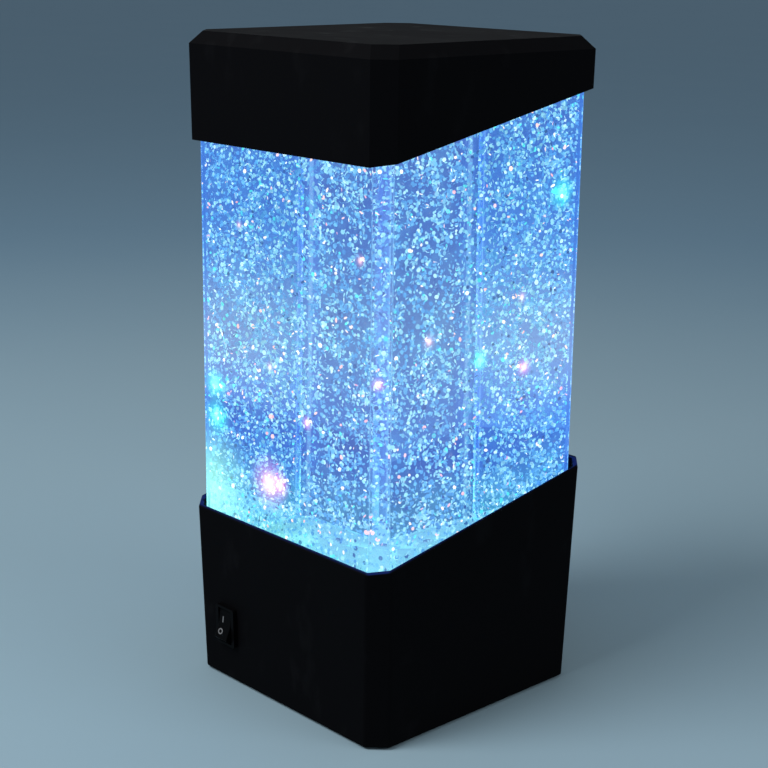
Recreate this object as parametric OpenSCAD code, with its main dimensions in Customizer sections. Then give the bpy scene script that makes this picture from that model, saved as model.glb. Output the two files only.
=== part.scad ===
// Square glitter-water lamp: a black base with a rocker switch, a clear tank of water
// and glitter with a magnet-driven stirrer, and a black cap.
// Millimetres, Z up, origin on the table under the centre of the base.
// The switch is on the -Y face; the base rim and the cap edge climb towards +Y.

/* [Base] */
// Width of the base across its flats, at the table
base_w = 100; // [96:1:130]
// Outward lean of the base's faces, in degrees
base_draft = 1.4; // [0.4:0.1:2]
// Leg of the 45 degree flat on each upright corner
corner_leg = 6.1; // [4:0.1:9]
// Wall of the base and the cap
shell_wall = 1.8; // [1.4:0.1:2.6]
// Height of the base's rim on the switch side
rim_low = 64.5; // [58:0.5:80]
// Climb of the rim towards the back, in degrees
rim_slope = 10.7; // [0:0.1:15]
// Thickness of the bottom cover
cover_t = 2.6; // [2.2:0.1:4]
// Play between the bottom cover and the base
cover_gap = 0.2; // [0.1:0.05:0.4]
// Height of the feet below the base
foot_proud = 0.8; // [0.6:0.1:2]
// Diameter of a foot
foot_d = 10; // [8:0.5:12]
// Width of the ledge that carries the tank
ledge_w = 9; // [6:0.5:12]
// Thickness of the ledge
ledge_t = 2; // [1.6:0.1:3]

/* [Cap] */
// Height of the whole lamp
lamp_h = 235; // [222:1:320]
// Height of the cap on the switch side
cap_h = 37; // [34:0.5:60]
// Climb of the cap's lower edge towards the back, in degrees
cap_slope = 11.4; // [0:0.1:12]
// Outward lean of the cap's faces, in degrees
cap_draft = 0.6; // [0:0.1:1.5]
// Play between the cap and the tank, at the cap's lower edge
cap_gap = 0.8; // [0.4:0.1:1.5]
// Inward run of the bevel round the cap's top
bevel_run = 3.4; // [1:0.1:5]
// Height of the bevel round the cap's top
bevel_h = 4.2; // [1:0.1:6]
// Thickness of the cap's top
cap_top_t = 2.2; // [1.6:0.1:4]
// Thickness of the foam pads between the tank lid and the cap
pad_t = 5; // [3.5:0.5:8]

/* [Tank] */
// Wall of the tank
tank_wall = 2.2; // [2:0.1:4]
// Thickness of the tank's floor
tank_floor_t = 4; // [3:0.1:6]
// Thickness of the tank's lid
lid_t = 3; // [2:0.1:4]
// Play between the tank and the base
tank_gap = 0.35; // [0.25:0.05:0.8]
// Thickness of the foam gasket under the tank
gasket_t = 1; // [0.6:0.1:2]
// Air left between the water and the lid
air_gap = 3.5; // [2:0.5:10]
// Diameter of the filling hole in the lid
fill_d = 16; // [10:1:24]
// Flakes along each side of the water
flakes_across = 6; // [2:1:8]
// Flakes up the height of the water
flakes_up = 12; // [4:1:16]
// Width of a glitter flake across its corners
flake_d = 1.6; // [0.8:0.1:2.5]
// Thickness of a glitter flake
flake_t = 0.12; // [0.08:0.02:0.3]

/* [Batteries] */
// Diameter of a cell
cell_d = 14.4; // [10.4:0.1:16]
// Length of a cell with its nub
cell_l = 50.5; // [44:0.5:54]
// Play round a cell
cell_gap = 0.4; // [0.3:0.05:0.8]
// Room for a contact spring
spring_l = 6; // [5:0.5:8]
// Wire of a contact spring
spring_wire = 0.8; // [0.5:0.05:0.8]
// Turns of a contact spring
spring_turns = 4; // [3:1:4]
// Thickness of a contact plate
contact_t = 0.4; // [0.3:0.05:0.6]
// Wall of the battery bay
bay_wall = 2.4; // [2:0.1:3]
// Play round the battery door
door_gap = 0.3; // [0.2:0.05:0.5]
// Diameter of the battery door's hinge pins
door_pin_d = 1.4; // [1:0.1:1.4]

/* [Switch] */
// Distance of the switch from the lamp's middle, towards -X
switch_x = 29.7; // [0:0.1:32]
// Height of the switch's middle
switch_z = 22.1; // [16:0.1:26]
// Width of the switch's bezel
bezel_w = 10.4; // [9.6:0.1:13]
// Height of the switch's bezel
bezel_h = 15; // [14:0.1:18]
// Thickness of the switch's bezel
bezel_t = 1.8; // [1.2:0.1:2.4]
// Depth of the switch's body behind the wall's outside
body_depth = 10.5; // [9:0.5:14]
// Tilt of the rocker either way, in degrees
rocker_tilt = 16; // [8:1:18]
// Dish of the rocker's two halves, in degrees
rocker_dish = 8; // [2:1:12]
// Play beside the rocker
rocker_gap = 0.2; // [0.15:0.05:0.4]
// Diameter of the rocker's pins
rocker_pin_d = 1.6; // [1:0.1:2]

/* [Motor and stirrer] */
// Diameter of the motor
motor_d = 24.4; // [20:0.2:28]
// Height of the motor with its end bell
motor_h = 12.3; // [10:0.1:18]
// Diameter of the motor's shaft
shaft_d = 2; // [1.5:0.1:3]
// Diameter of the magnet hub on the motor
hub_d = 26; // [22:0.5:30]
// Web of the magnet hub under its magnets
hub_web = 2; // [1:0.1:4]
// Gap between the magnet hub and the tank
drive_gap = 1.5; // [1:0.1:3]
// Diameter of a drive magnet
magnet_d = 8; // [6:0.5:8]
// Thickness of a drive magnet
magnet_t = 3; // [2:0.1:3]
// Diameter of the stirrer
stirrer_d = 27; // [24:0.5:36]
// Web of the stirrer's disc over its magnets
stirrer_web = 0.6; // [0.4:0.1:2]
// Height of the stirrer's blades
blade_h = 3; // [2:0.5:6]
// Number of blades on the stirrer
blade_count = 6; // [4:1:8]
// Diameter of the stirrer's axle
axle_d = 3; // [2:0.1:4]

/* [Light board] */
// Thickness of the light board
board_t = 1.6; // [1:0.1:2]
// Number of LEDs
led_count = 6; // [3:1:8]
// Diameter of an LED
led_d = 5; // [3:0.1:5]
// Height of an LED above the board
led_h = 8.6; // [6:0.1:9]
// Gap between the LEDs and the tank
led_gap = 0.8; // [0.5:0.1:2]
// Diameter of a lead
lead_d = 1.2; // [0.8:0.1:1.5]

/* [Fasteners] */
// Diameter of the cover screws
cover_screw_d = 2.5; // [2:0.1:3]
// Diameter of the small screws
small_screw_d = 1.9; // [1.6:0.1:2]
// Length of the small screws below their heads
small_screw_l = 5.5; // [4:0.5:7]
// Radial play of a screw or pin in its hole
pin_play = 0.05; // [0.03:0.01:0.1]

/* [Hidden] */
$fn = 48;
root2 = sqrt(2);
over = 1; // how far a cutting tool runs past the face that it cuts
touch = 0.05; // gap left where two pieces only touch
press_play = 0.02; // on the diameter of a pressed pin

// Heights, stacked from the table upwards
cover_z = foot_proud;
cover_top = cover_z + cover_t;
bay_h = cell_d + 2 * cell_gap;
bay_top = cover_top + bay_h + bay_wall;
cell_z = cover_top + cell_gap + cell_d / 2;
door_stop = 0.4; // gap between the shut door and the bay's wall
door_t = cover_t - door_stop;
cradle_floor_t = 2;
motor_z = bay_top + cradle_floor_t;
motor_top = motor_z + motor_h;
boss_h = 1.2; // bearing boss on the motor
hub_rise = 0.6; // clearance under the magnet hub
hub_z = motor_top + boss_h + hub_rise;
hub_h = magnet_t + hub_web;
hub_top = hub_z + hub_h;
tank_z = hub_top + drive_gap;
floor_top = tank_z + tank_floor_t;
ledge_top = tank_z - gasket_t;
ledge_z = ledge_top - ledge_t;
board_top = tank_z - led_gap - led_h;
board_z = board_top - board_t;
lid_top = lamp_h - cap_top_t - pad_t;
lid_z = lid_top - lid_t;
water_top = lid_z - air_gap;

// Widths of the shells, as half-widths across the flats
function base_half(z) = base_w / 2 + z * tan(base_draft);
function inner_leg(leg, wall) = leg - wall * (2 - root2);
function flat_reach(half, leg) = root2 * half - leg / root2;
base_in = base_half(cover_z) - shell_wall;
tank_half = base_half(tank_z) - shell_wall - tank_gap;
tank_leg = inner_leg(corner_leg, shell_wall + tank_gap);
water_half = tank_half - tank_wall;
water_leg = inner_leg(tank_leg, tank_wall);
water_gap = 0.05; // film between the water and the tank
cap_low = lamp_h - cap_h;
cap_half_low = tank_half + cap_gap + shell_wall;
function cap_half(z) = cap_half_low + (z - cap_low) * tan(cap_draft);
ledge_half = base_half(ledge_top) - shell_wall - ledge_w;
ledge_cut = 14; // corner flats of the light opening

// Battery bay
row_slack = 0.2; // free length along a cell
bay_half_l = (cell_l + spring_l + 2 * contact_t + row_slack) / 2;
cell_pitch = cell_d + cell_gap;
bay_half_w = cell_pitch + cell_d / 2 + cell_gap;
stop_w = 1.2; // how far the bay's wall stands over the door's edge
door_half_l = bay_half_l + stop_w;
door_half_w = bay_half_w + stop_w;
door_pin_l = 1.2;
door_pin_z = cover_z + door_t / 2;
contact_h = 9;
contact_w = 11;
tab_w = 3;
tab_l = 3; // how far a solder tab stands out of the bay
tab_play = 0.1;
nub_l = 1;
nub_d = 5.4;
spring_r_wide = 4.5;
spring_r_small = 3;

// Screw columns of the base and feet on the cover
column_d = 7.2;
column_inset = 5.2; // from the inside of the base's wall
column_xy = base_in - column_inset;
screw_head_d = 5.6;
screw_head_h = 1.4;
head_sink = 0.2;
screw_grip = 10; // thread in the column
foot_sink = 0.4;
foot_apart = 4; // between a foot and the screw beside it
foot_x = column_xy - screw_head_d / 2 - foot_d / 2 - foot_apart;

// Motor, its cradle and the board round it
cradle_wall = 2;
cradle_r = motor_d / 2 + pin_play + cradle_wall;
cradle_h = 8;
cradle_slot = 7; // slots for the motor's terminals
ear_r = 3.6;
ear_t = 2;
ear_rise = 4; // height of the bosses under the cradle's ears
ear_apart = 0.6; // between an ear's boss and the cradle
ear_x = cradle_r + ear_r + ear_apart;
small_head_d = 3.8;
small_head_h = 1.3;
bell_t = 2;
terminal_l = 1.5;
hub_room = 1.5; // round the motor's hub in the board's hole
board_hole_r = max(motor_d, hub_d) / 2 + hub_room;
led_apart = 6.5; // from the board's hole to the LEDs
led_ring_r = board_hole_r + led_d / 2 + led_apart;
board_rim = 2.4; // board left outside the LEDs
board_half_y = led_ring_r + led_d / 2 + board_rim;
post_d = 6;
post_apart = 1.5; // between the bay and the board's posts
post_x = bay_half_l + bay_wall + post_d / 2 + post_apart;
post_y = cell_pitch / 2; // between the solder tabs
post_rim = 1; // board left outside its posts
board_half_x = post_x + post_d / 2 + post_rim;

// Switch, in a frame on the wall: x along it, -y out of it, z up it
body_wall = 0.9;
bezel_rim = 1.6; // bezel left beside the rocker's opening
open_w = bezel_w - 2 * bezel_rim;
rocker_w = open_w - 2 * rocker_gap;
bezel_end = 1; // bezel left above and below the opening
open_h = bezel_h - 2 * bezel_end;
body_w = open_w + 2 * body_wall;
bezel_lap = 0.7; // how far the bezel stands over the wall's hole
body_h = bezel_h - 2 * bezel_lap;
rocker_axis_y = 0.5;
rocker_end_r = open_h / 2 - rocker_gap;
rocker_mid = 2.5; // rocker's middle above its axis
rocker_deep = 1.8; // rocker's underside below its axis
switch_pin_l = 0.6;
body_floor_t = 2;
cavity_depth = body_depth - body_floor_t;
blade_w = 3;
blade_t = 0.6;
blade_out = 6.5;
blade_z = 3.4; // terminals above and below the switch's middle
switch_play = 0.15;

// Stirrer
stirrer_t = magnet_t + stirrer_web;
stirrer_lift = 0.4; // gap under the stirrer
stirrer_z = floor_top + stirrer_lift;
stirrer_hub_d = 8.4;
hub_proud = 1; // stirrer's hub above its blades
stirrer_hub_h = stirrer_t + blade_h + hub_proud;
magnet_edge = 0.5; // rim left outside a magnet
magnet_ring_r = (min(hub_d, stirrer_d) - magnet_d) / 2 - magnet_edge;
clip_t = 0.8;
clip_play = 0.3;
clip_z = stirrer_z + stirrer_hub_h + clip_play;
axle_sink = 2.5;
axle_proud = 0.4; // axle above its clip
axle_top = clip_z + clip_t + axle_proud;
swirl_room = 1.5; // free room that the water leaves round the stirrer
swirl_r = stirrer_d / 2 + swirl_room;
swirl_top = axle_top + swirl_room;

// Shapes used by several pieces

// Prism with leaning sides: a trapezoid over X and Z, drawn along Y
module leaning_slab(half_low, half_high, z_low, z_high, reach) {
    rotate([90, 0, 0])
        linear_extrude(2 * reach, center = true)
            polygon([[-half_low, z_low], [half_low, z_low], [half_high, z_high], [-half_high, z_high]]);
}

// Square block with leaning faces and a 45 degree flat on each upright corner
module drafted_block(half_low, half_high, leg, z_low, z_high) {
    reach = 2 * max(half_low, half_high);
    intersection_for (turn = [0:3])
        rotate(45 * turn)
            if (turn % 2 == 0)
                leaning_slab(half_low, half_high, z_low, z_high, reach);
            else
                leaning_slab(flat_reach(half_low, leg), flat_reach(half_high, leg), z_low, z_high, reach);
}

// Drafted block whose faces lean in above a shoulder
module bevelled_block(half_low, half_shoulder, half_top, leg, z_low, shoulder, z_top) {
    lean = (half_shoulder - half_low) / (shoulder - z_low);
    pitch = (half_shoulder - half_top) / (z_top - shoulder);
    tall = z_top - z_low;
    intersection() {
        drafted_block(half_low, half_low + lean * tall, leg, z_low, z_top);
        drafted_block(half_top + pitch * tall, half_top, leg, z_low, z_top);
    }
}

// Space below a plane that passes the -Y face at z_front and climbs towards +Y
module below_plane(z_front, front, slope) {
    reach = 2 * base_w;
    function plane_z(y) = z_front + (y + front) * tan(slope);
    rotate([90, 0, 90])
        linear_extrude(2 * reach, center = true)
            polygon([[-reach, -reach], [reach, -reach], [reach, plane_z(reach)], [-reach, plane_z(-reach)]]);
}

// Rectangle with round corners
module rounded_rect(w, h, r) {
    square([w - 2 * r, h], center = true);
    square([w, h - 2 * r], center = true);
    for (x = [-1, 1], y = [-1, 1])
        translate([x * (w / 2 - r), y * (h / 2 - r)]) circle(r);
}

// Upright square prism with a 45 degree flat on each corner
module cut_prism(half, leg, z_low, z_high) {
    drafted_block(half, half, leg, z_low, z_high);
}

// Light opening of the ledge and the gasket
module light_opening(z_low, z_high) {
    drafted_block(ledge_half, ledge_half, ledge_cut, z_low, z_high);
}

// Copies at the four mirrored places of a point
module four(x, y) {
    for (i = [-1, 1], j = [-1, 1])
        translate([i * x, j * y, 0]) children();
}

// Pan-head screw pointing down from the underside of its head, with a cross recess
module screw(d, l, head_d, head_h) {
    translate([0, 0, -l]) cylinder(d = d, h = l);
    difference() {
        cylinder(d = head_d, h = head_h);
        for (turn = [0, 90])
            rotate(turn)
                translate([-head_d / 4, -head_d / 14, head_h / 2])
                    cube([head_d / 2, head_d / 7, head_h]);
    }
}

function unit(v) = v / norm(v);
function bezier(a, b, c, d, steps) = [
    for (i = [0:steps])
        let (t = i / steps, s = 1 - t)
            s * s * s * a + 3 * s * s * t * b + 3 * s * t * t * c + t * t * t * d
];
function tangent(path, i) = unit(path[min(i + 1, len(path) - 1)] - path[max(i - 1, 0)]);
// Sideways directions carried along a path without twist
function sideways(path, first) = [
    for (
        i = 0, side = unit(first - (first * tangent(path, 0)) * tangent(path, 0));
        i < len(path);
        i = i + 1,
        side = i < len(path)
            ? unit(side - (side * tangent(path, i)) * tangent(path, i))
            : side
    ) side
];

// Round tube along a path of points
module tube_along(path, r, first, sides = 8) {
    across = sideways(path, first);
    last = len(path) - 1;
    points = [
        for (i = [0:last], k = [0:sides - 1])
            let (u = across[i], v = cross(tangent(path, i), u), a = 360 * k / sides)
                path[i] + r * (cos(a) * u + sin(a) * v)
    ];
    skin = [
        for (i = [0:last - 1], k = [0:sides - 1], half = [0, 1])
            let (m = (k + 1) % sides, p = i * sides, q = p + sides)
                half == 0 ? [p + k, q + k, p + m] : [p + m, q + k, q + m]
    ];
    ends = [
        for (k = [1:sides - 2], end = [0, 1])
            end == 0 ? [0, k, k + 1] : [last * sides, last * sides + k + 1, last * sides + k]
    ];
    polyhedron(points, concat(skin, ends), convexity = 6);
}

// Place of the switch on the leaning -Y wall
module at_switch() {
    translate([-switch_x, -base_half(switch_z), switch_z])
        rotate([base_draft, 0, 0])
            children();
}

// Plate on the switch's wall, w wide and h high, from out_a to out_b outwards
module wall_plate(w, h, out_a, out_b) {
    rotate([90, 0, 0])
        translate([-w / 2, -h / 2, out_a])
            cube([w, h, out_b - out_a]);
}

// Base

// Small upright ribs inside a shell that keep the tank in the middle
module tank_ribs(outside, z_low, z_high, place) {
    rib_t = 1.6;
    rib_gap = 0.15;
    rib_in = tank_half + rib_gap;
    for (side = [0:3], s = [-1, 1])
        rotate(90 * side)
            translate([s * place - rib_t / 2, rib_in, z_low])
                cube([rib_t, outside - rib_in, z_high - z_low]);
}

module base_housing() {
    rim_reach = base_half(rim_low);
    rim_top = rim_low + 2 * rim_reach * tan(rim_slope) + over;
    leg_in = inner_leg(corner_leg, shell_wall);
    rib_rise = 14;
    pilot = screw_grip + 1;
    color([0.05, 0.05, 0.055])
        difference() {
            intersection() {
                union() {
                    difference() {
                        drafted_block(base_half(cover_z), base_half(rim_top), corner_leg, cover_z, rim_top);
                        drafted_block(
                            base_half(cover_z - over) - shell_wall, base_half(ledge_z) - shell_wall,
                            leg_in, cover_z - over, ledge_z
                        );
                        drafted_block(
                            base_half(ledge_top) - shell_wall, base_half(rim_top + over) - shell_wall,
                            leg_in, ledge_top, rim_top + over
                        );
                    }
                    four(column_xy, column_xy)
                        translate([0, 0, cover_top])
                            cylinder(d = column_d, h = ledge_z - cover_top + ledge_t / 2);
                    tank_ribs(base_half(ledge_top) - shell_wall / 2, ledge_top - ledge_t / 2,
                        ledge_top + rib_rise, tank_half / 2);
                }
                below_plane(rim_low, rim_reach, rim_slope);
            }
            light_opening(ledge_z - over, ledge_top + over);
            four(column_xy, column_xy)
                translate([0, 0, cover_top - over])
                    cylinder(d = cover_screw_d + 2 * pin_play, h = pilot + over);
            at_switch()
                wall_plate(body_w + 2 * switch_play, body_h + 2 * switch_play,
                    -3 * shell_wall, 3 * shell_wall);
        }
}

module bottom_cover() {
    cover_half = base_half(cover_z) - shell_wall - cover_gap;
    cover_half_top = base_half(cover_top) - shell_wall - cover_gap;
    wide_l = bay_half_l + bay_wall;
    wide_w = bay_half_w + bay_wall;
    color([0.06, 0.06, 0.065])
        difference() {
            union() {
                drafted_block(cover_half, cover_half_top, inner_leg(corner_leg, shell_wall + cover_gap),
                    cover_z, cover_top);
                translate([-wide_l, -wide_w, cover_top - over])
                    cube([2 * wide_l, 2 * wide_w, bay_top - cover_top + over]);
                four(post_x, post_y)
                    translate([0, 0, cover_top - over])
                        cylinder(d = post_d, h = board_z - cover_top + over);
                for (s = [-1, 1])
                    translate([s * ear_x, 0, bay_top - bay_wall / 2])
                        cylinder(r = ear_r, h = ear_rise + bay_wall / 2);
            }
            translate([-bay_half_l, -bay_half_w, cover_z - over])
                cube([2 * bay_half_l, 2 * bay_half_w, cover_top + bay_h - cover_z + over]);
            translate([-door_half_l - door_gap, -door_half_w - door_gap, cover_z - over])
                cube([2 * (door_half_l + door_gap), 2 * (door_half_w + door_gap), cover_t + over]);
            door_pins(door_half_w + door_gap + door_pin_l, door_pin_d + 2 * pin_play);
            contact_tabs(tab_play);
            four(column_xy, column_xy)
                translate([0, 0, cover_z - over]) {
                    cylinder(d = cover_screw_d + 4 * pin_play, h = cover_t + 2 * over);
                    cylinder(d = screw_head_d + 4 * pin_play, h = screw_head_h + head_sink + over);
                }
            four(foot_x, column_xy)
                translate([0, 0, cover_z - over])
                    cylinder(d = foot_d + 4 * pin_play, h = foot_sink + over);
            four(post_x, post_y)
                translate([0, 0, board_z - small_screw_l])
                    cylinder(d = small_screw_d + 2 * pin_play, h = small_screw_l + over);
            for (s = [-1, 1])
                translate([s * ear_x, 0, bay_top + ear_rise + ear_t - small_screw_l - touch])
                    cylinder(d = small_screw_d + 2 * pin_play, h = small_screw_l + over);
        }
}

module cover_screws() {
    color("silver")
        four(column_xy, column_xy)
            translate([0, 0, cover_z + head_sink + screw_head_h])
                rotate([180, 0, 0])
                    screw(cover_screw_d, cover_t - head_sink - screw_head_h + screw_grip,
                        screw_head_d, screw_head_h);
}

module rubber_feet() {
    color([0.1, 0.1, 0.1])
        four(foot_x, column_xy)
            cylinder(d = foot_d, h = cover_z + foot_sink);
}

// Batteries

// Hinge pins of the battery door, at its -X edge
module door_pins(reach, d) {
    translate([-door_half_l + door_t / 2, 0, door_pin_z])
        rotate([90, 0, 0])
            cylinder(d = d, h = 2 * reach, center = true);
}

module battery_door() {
    slit_w = 0.8;
    slit_l = 9;
    tongue_w = 12;
    groove_r = 1;
    color([0.06, 0.06, 0.065])
        difference() {
            union() {
                translate([-door_half_l + door_t / 2, -door_half_w, cover_z])
                    cube([2 * door_half_l - door_t / 2, 2 * door_half_w, door_t]);
                door_pins(door_half_w, door_t);
                door_pins(door_half_w + door_pin_l, door_pin_d);
            }
            for (s = [-1, 1])
                translate([door_half_l - slit_l, s * tongue_w / 2 - slit_w / 2, cover_z - over])
                    cube([slit_l + over, slit_w, door_t + 2 * over]);
            for (i = [1:3])
                translate([door_half_l - 2 * i * groove_r, 0, cover_z - groove_r / 2])
                    rotate([90, 0, 0])
                        cylinder(r = groove_r, h = tongue_w - 4 * slit_w, center = true);
        }
}

module door_pad() {
    pad_room = cell_z - cell_d / 2 - cover_z - door_t;
    pad_share = 0.75; // of the room between the door and the cells
    pad_inset = 2;
    color([0.2, 0.2, 0.22])
        translate([-cell_l / 4, -bay_half_w + pad_inset, cover_z + door_t])
            cube([cell_l / 2, 2 * (bay_half_w - pad_inset), pad_share * pad_room]);
}

// Cell i lies along X with its nub towards the side that this gives
function cell_side(i) = i % 2 == 0 ? -1 : 1;
function cell_y(i) = (i - 1) * cell_pitch;
plate_x = bay_half_l - contact_t;

module battery_cells() {
    color([0.30, 0.33, 0.36])
        for (i = [0:2])
            translate([cell_side(i) * (plate_x - touch), cell_y(i), cell_z])
                rotate([0, -90 * cell_side(i), 0]) {
                    cylinder(d = nub_d, h = nub_l);
                    translate([0, 0, nub_l]) cylinder(d = cell_d, h = cell_l - nub_l);
                }
}

module battery_springs() {
    wire_r = spring_wire / 2;
    room = 2 * plate_x - touch - cell_l;
    steps = 8 * spring_turns;
    path = [
        for (i = [0:steps])
            let (t = i / steps, r = spring_r_wide + t * (spring_r_small - spring_r_wide), a = 45 * i)
                [r * cos(a), r * sin(a), wire_r + touch + t * (room - 2 * wire_r - 2 * touch)]
    ];
    color("silver")
        for (i = [0:2])
            translate([-cell_side(i) * plate_x, cell_y(i), cell_z])
                rotate([0, 90 * cell_side(i), 0])
                    tube_along(path, wire_r, [0, 0, 1], 6);
}

// Solder tabs at the two ends of the row of cells, through the bay's end walls
module contact_tabs(play) {
    for (i = [0, 2])
        let (s = i == 0 ? -1 : 1)
            translate([s * (plate_x + (contact_t + bay_wall + tab_l) / 2), cell_y(i), cell_z])
                cube([contact_t + bay_wall + tab_l, tab_w + 2 * play, contact_t + 2 * play], center = true);
}

module battery_contacts() {
    module plate(s, y_from, y_to)
        translate([s > 0 ? plate_x : -bay_half_l, y_from - contact_w / 2, cell_z - contact_h / 2])
            cube([contact_t, y_to - y_from + contact_w, contact_h]);
    color("gainsboro") {
        plate(-1, cell_y(0), cell_y(0));
        plate(1, cell_y(0), cell_y(1));
        plate(-1, cell_y(1), cell_y(2));
        plate(1, cell_y(2), cell_y(2));
        contact_tabs(0);
    }
}

// Switch

// Side view of the rocker: a dished top and round ends, about its axis
module rocker_profile() {
    wide = 2 * rocker_end_r;
    rise = wide * tan(rocker_dish);
    intersection() {
        circle(rocker_end_r);
        polygon([[-wide, -rocker_deep], [wide, -rocker_deep], [wide, rocker_mid + rise],
            [0, rocker_mid], [-wide, rocker_mid + rise]]);
    }
}

// Cylinder along X on the rocker's axis
module rocker_pins(reach, d) {
    translate([0, rocker_axis_y, 0])
        rotate([0, 90, 0])
            cylinder(d = d, h = 2 * reach, center = true);
}

module switch_terminal_blades(y_from, y_to) {
    for (s = [-1, 1])
        translate([-blade_w / 2, y_from, s * blade_z - blade_t / 2])
            cube([blade_w, y_to - y_from, blade_t]);
}

module switch_housing() {
    bezel_r = 1;
    snap_w = 4;
    snap_l = 3;
    snap_out = 0.7;
    snap_back = shell_wall + 0.2; // just behind the wall
    color([0.04, 0.04, 0.045])
        at_switch()
            difference() {
                union() {
                    rotate([90, 0, 0])
                        linear_extrude(bezel_t)
                            rounded_rect(bezel_w, bezel_h, bezel_r);
                    wall_plate(body_w, body_h, -body_depth, 0);
                    for (s = [-1, 1])
                        translate([0, snap_back, s * body_h / 2])
                            rotate([0, 90, 0])
                                linear_extrude(snap_w, center = true)
                                    polygon([[0, 0], [-s * snap_out, 0], [0, snap_l]]);
                }
                wall_plate(open_w, open_h, -cavity_depth, bezel_t + over);
                rocker_pins(open_w / 2 + switch_pin_l, rocker_pin_d + 2 * pin_play);
                switch_terminal_blades(cavity_depth - over, body_depth + over);
            }
}

module switch_rocker() {
    tip_gap = 0.1; // at the ends of the pins
    color([0.03, 0.03, 0.035])
        at_switch() {
            translate([0, rocker_axis_y, 0])
                rotate([-rocker_tilt, 0, 0])
                    rotate([180, -90, 0])
                        linear_extrude(rocker_w, center = true)
                            rocker_profile();
            rocker_pins(open_w / 2 + switch_pin_l - tip_gap, rocker_pin_d);
        }
}

module switch_terminals() {
    contact_rise = 1.5;
    color("goldenrod")
        at_switch()
            switch_terminal_blades(cavity_depth - contact_rise, body_depth + blade_out);
}

// Motor and light board

module motor_cradle() {
    ear_z = bay_top + ear_rise;
    color([0.85, 0.85, 0.85])
        difference() {
            union() {
                translate([0, 0, bay_top]) cylinder(r = cradle_r, h = cradle_floor_t + cradle_h);
                for (s = [-1, 1]) {
                    translate([s * ear_x, 0, ear_z]) cylinder(r = ear_r, h = ear_t);
                    translate([s * ear_x / 2 - ear_x / 2, -ear_r, ear_z]) cube([ear_x, 2 * ear_r, ear_t]);
                }
            }
            translate([0, 0, motor_z])
                cylinder(r = motor_d / 2 + pin_play, h = cradle_h + over);
            translate([-cradle_slot / 2, -cradle_r - over, motor_z])
                cube([cradle_slot, 2 * cradle_r + 2 * over, cradle_h + over]);
            for (s = [-1, 1])
                translate([s * ear_x, 0, ear_z - over])
                    cylinder(d = small_screw_d + 4 * pin_play, h = ear_t + 2 * over);
        }
}

module cradle_screws() {
    color("silver")
        for (s = [-1, 1])
            translate([s * ear_x, 0, bay_top + ear_rise + ear_t])
                screw(small_screw_d, small_screw_l, small_head_d, small_head_h);
}

module motor_can() {
    boss_d = 6;
    color("silver")
        difference() {
            union() {
                translate([0, 0, motor_z + bell_t]) cylinder(d = motor_d, h = motor_h - bell_t);
                translate([0, 0, motor_top]) cylinder(d = boss_d, h = boss_h);
            }
            translate([0, 0, motor_z + bell_t - over])
                cylinder(d = shaft_d + 2 * pin_play, h = motor_h + boss_h + over);
        }
}

module motor_bell() {
    terminal_w = 2.4;
    terminal_t = 0.5;
    color([0.9, 0.88, 0.8]) {
        translate([0, 0, motor_z]) cylinder(d = motor_d, h = bell_t);
        for (s = [-1, 1])
            translate([-terminal_w / 2, s * (motor_d / 2 + terminal_l / 2) - terminal_l, motor_z + bell_t / 2])
                cube([terminal_w, 2 * terminal_l, terminal_t]);
    }
}

module motor_shaft() {
    shaft_lift = 0.2;
    shaft_z = motor_z + bell_t + shaft_lift;
    color("gainsboro")
        translate([0, 0, shaft_z])
            cylinder(d = shaft_d, h = hub_top - shaft_z);
}

// Round magnets on a ring, for the motor's hub and for the stirrer
module magnet_pair(z, play) {
    for (s = [-1, 1])
        translate([s * magnet_ring_r, 0, z])
            cylinder(d = magnet_d + 2 * play, h = magnet_t);
}

module drive_hub() {
    collar_d = 6;
    groove_w = 0.5;
    color([0.9, 0.9, 0.9])
        difference() {
            translate([0, 0, hub_z])
                cylinder(d = hub_d, h = hub_h);
            magnet_pair(hub_top - magnet_t, pin_play);
            translate([0, 0, hub_top - magnet_t / 2])
                difference() {
                    cylinder(d = collar_d + 2 * groove_w, h = magnet_t);
                    translate([0, 0, -over]) cylinder(d = collar_d, h = magnet_t + 2 * over);
                }
            translate([0, 0, hub_z - over])
                cylinder(d = shaft_d + press_play, h = hub_h + 2 * over);
        }
}

module drive_magnets() {
    color([0.6, 0.6, 0.62])
        magnet_pair(hub_top - magnet_t, 0);
}

module led_board() {
    color([0.1, 0.35, 0.2])
        difference() {
            translate([-board_half_x, -board_half_y, board_z])
                cube([2 * board_half_x, 2 * board_half_y, board_t]);
            translate([0, 0, board_z - over])
                cylinder(r = board_hole_r, h = board_t + 2 * over);
            four(post_x, post_y)
                translate([0, 0, board_z - over])
                    cylinder(d = small_screw_d + 4 * pin_play, h = board_t + 2 * over);
        }
}

module board_screws() {
    color("silver")
        four(post_x, post_y)
            translate([0, 0, board_top])
                screw(small_screw_d, small_screw_l - touch, small_head_d, small_head_h);
}

module leds() {
    flange_t = 1;
    flange_rim = 0.4;
    color([0.85, 0.95, 1.0])
        for (i = [0:led_count - 1])
            rotate(360 * i / led_count)
                translate([led_ring_r, 0, board_top]) {
                    cylinder(r = led_d / 2 + flange_rim, h = flange_t);
                    cylinder(d = led_d, h = led_h - led_d / 2);
                    translate([0, 0, led_h - led_d / 2]) sphere(d = led_d);
                }
}

module board_parts() {
    chip = [6, 5, 1.6];
    resistor = [3.2, 1.6, 0.6];
    resistor_pitch = 3;
    can_d = 5;
    can_h = 6;
    color([0.15, 0.15, 0.16]) {
        translate([post_x - chip[0], -chip[1] / 2, board_top]) cube(chip);
        for (i = [-1:1])
            translate([-post_x, i * resistor_pitch - resistor[1] / 2, board_top]) cube(resistor);
        translate([can_d - post_x, -cell_pitch, board_top]) cylinder(d = can_d, h = can_h);
    }
}

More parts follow.
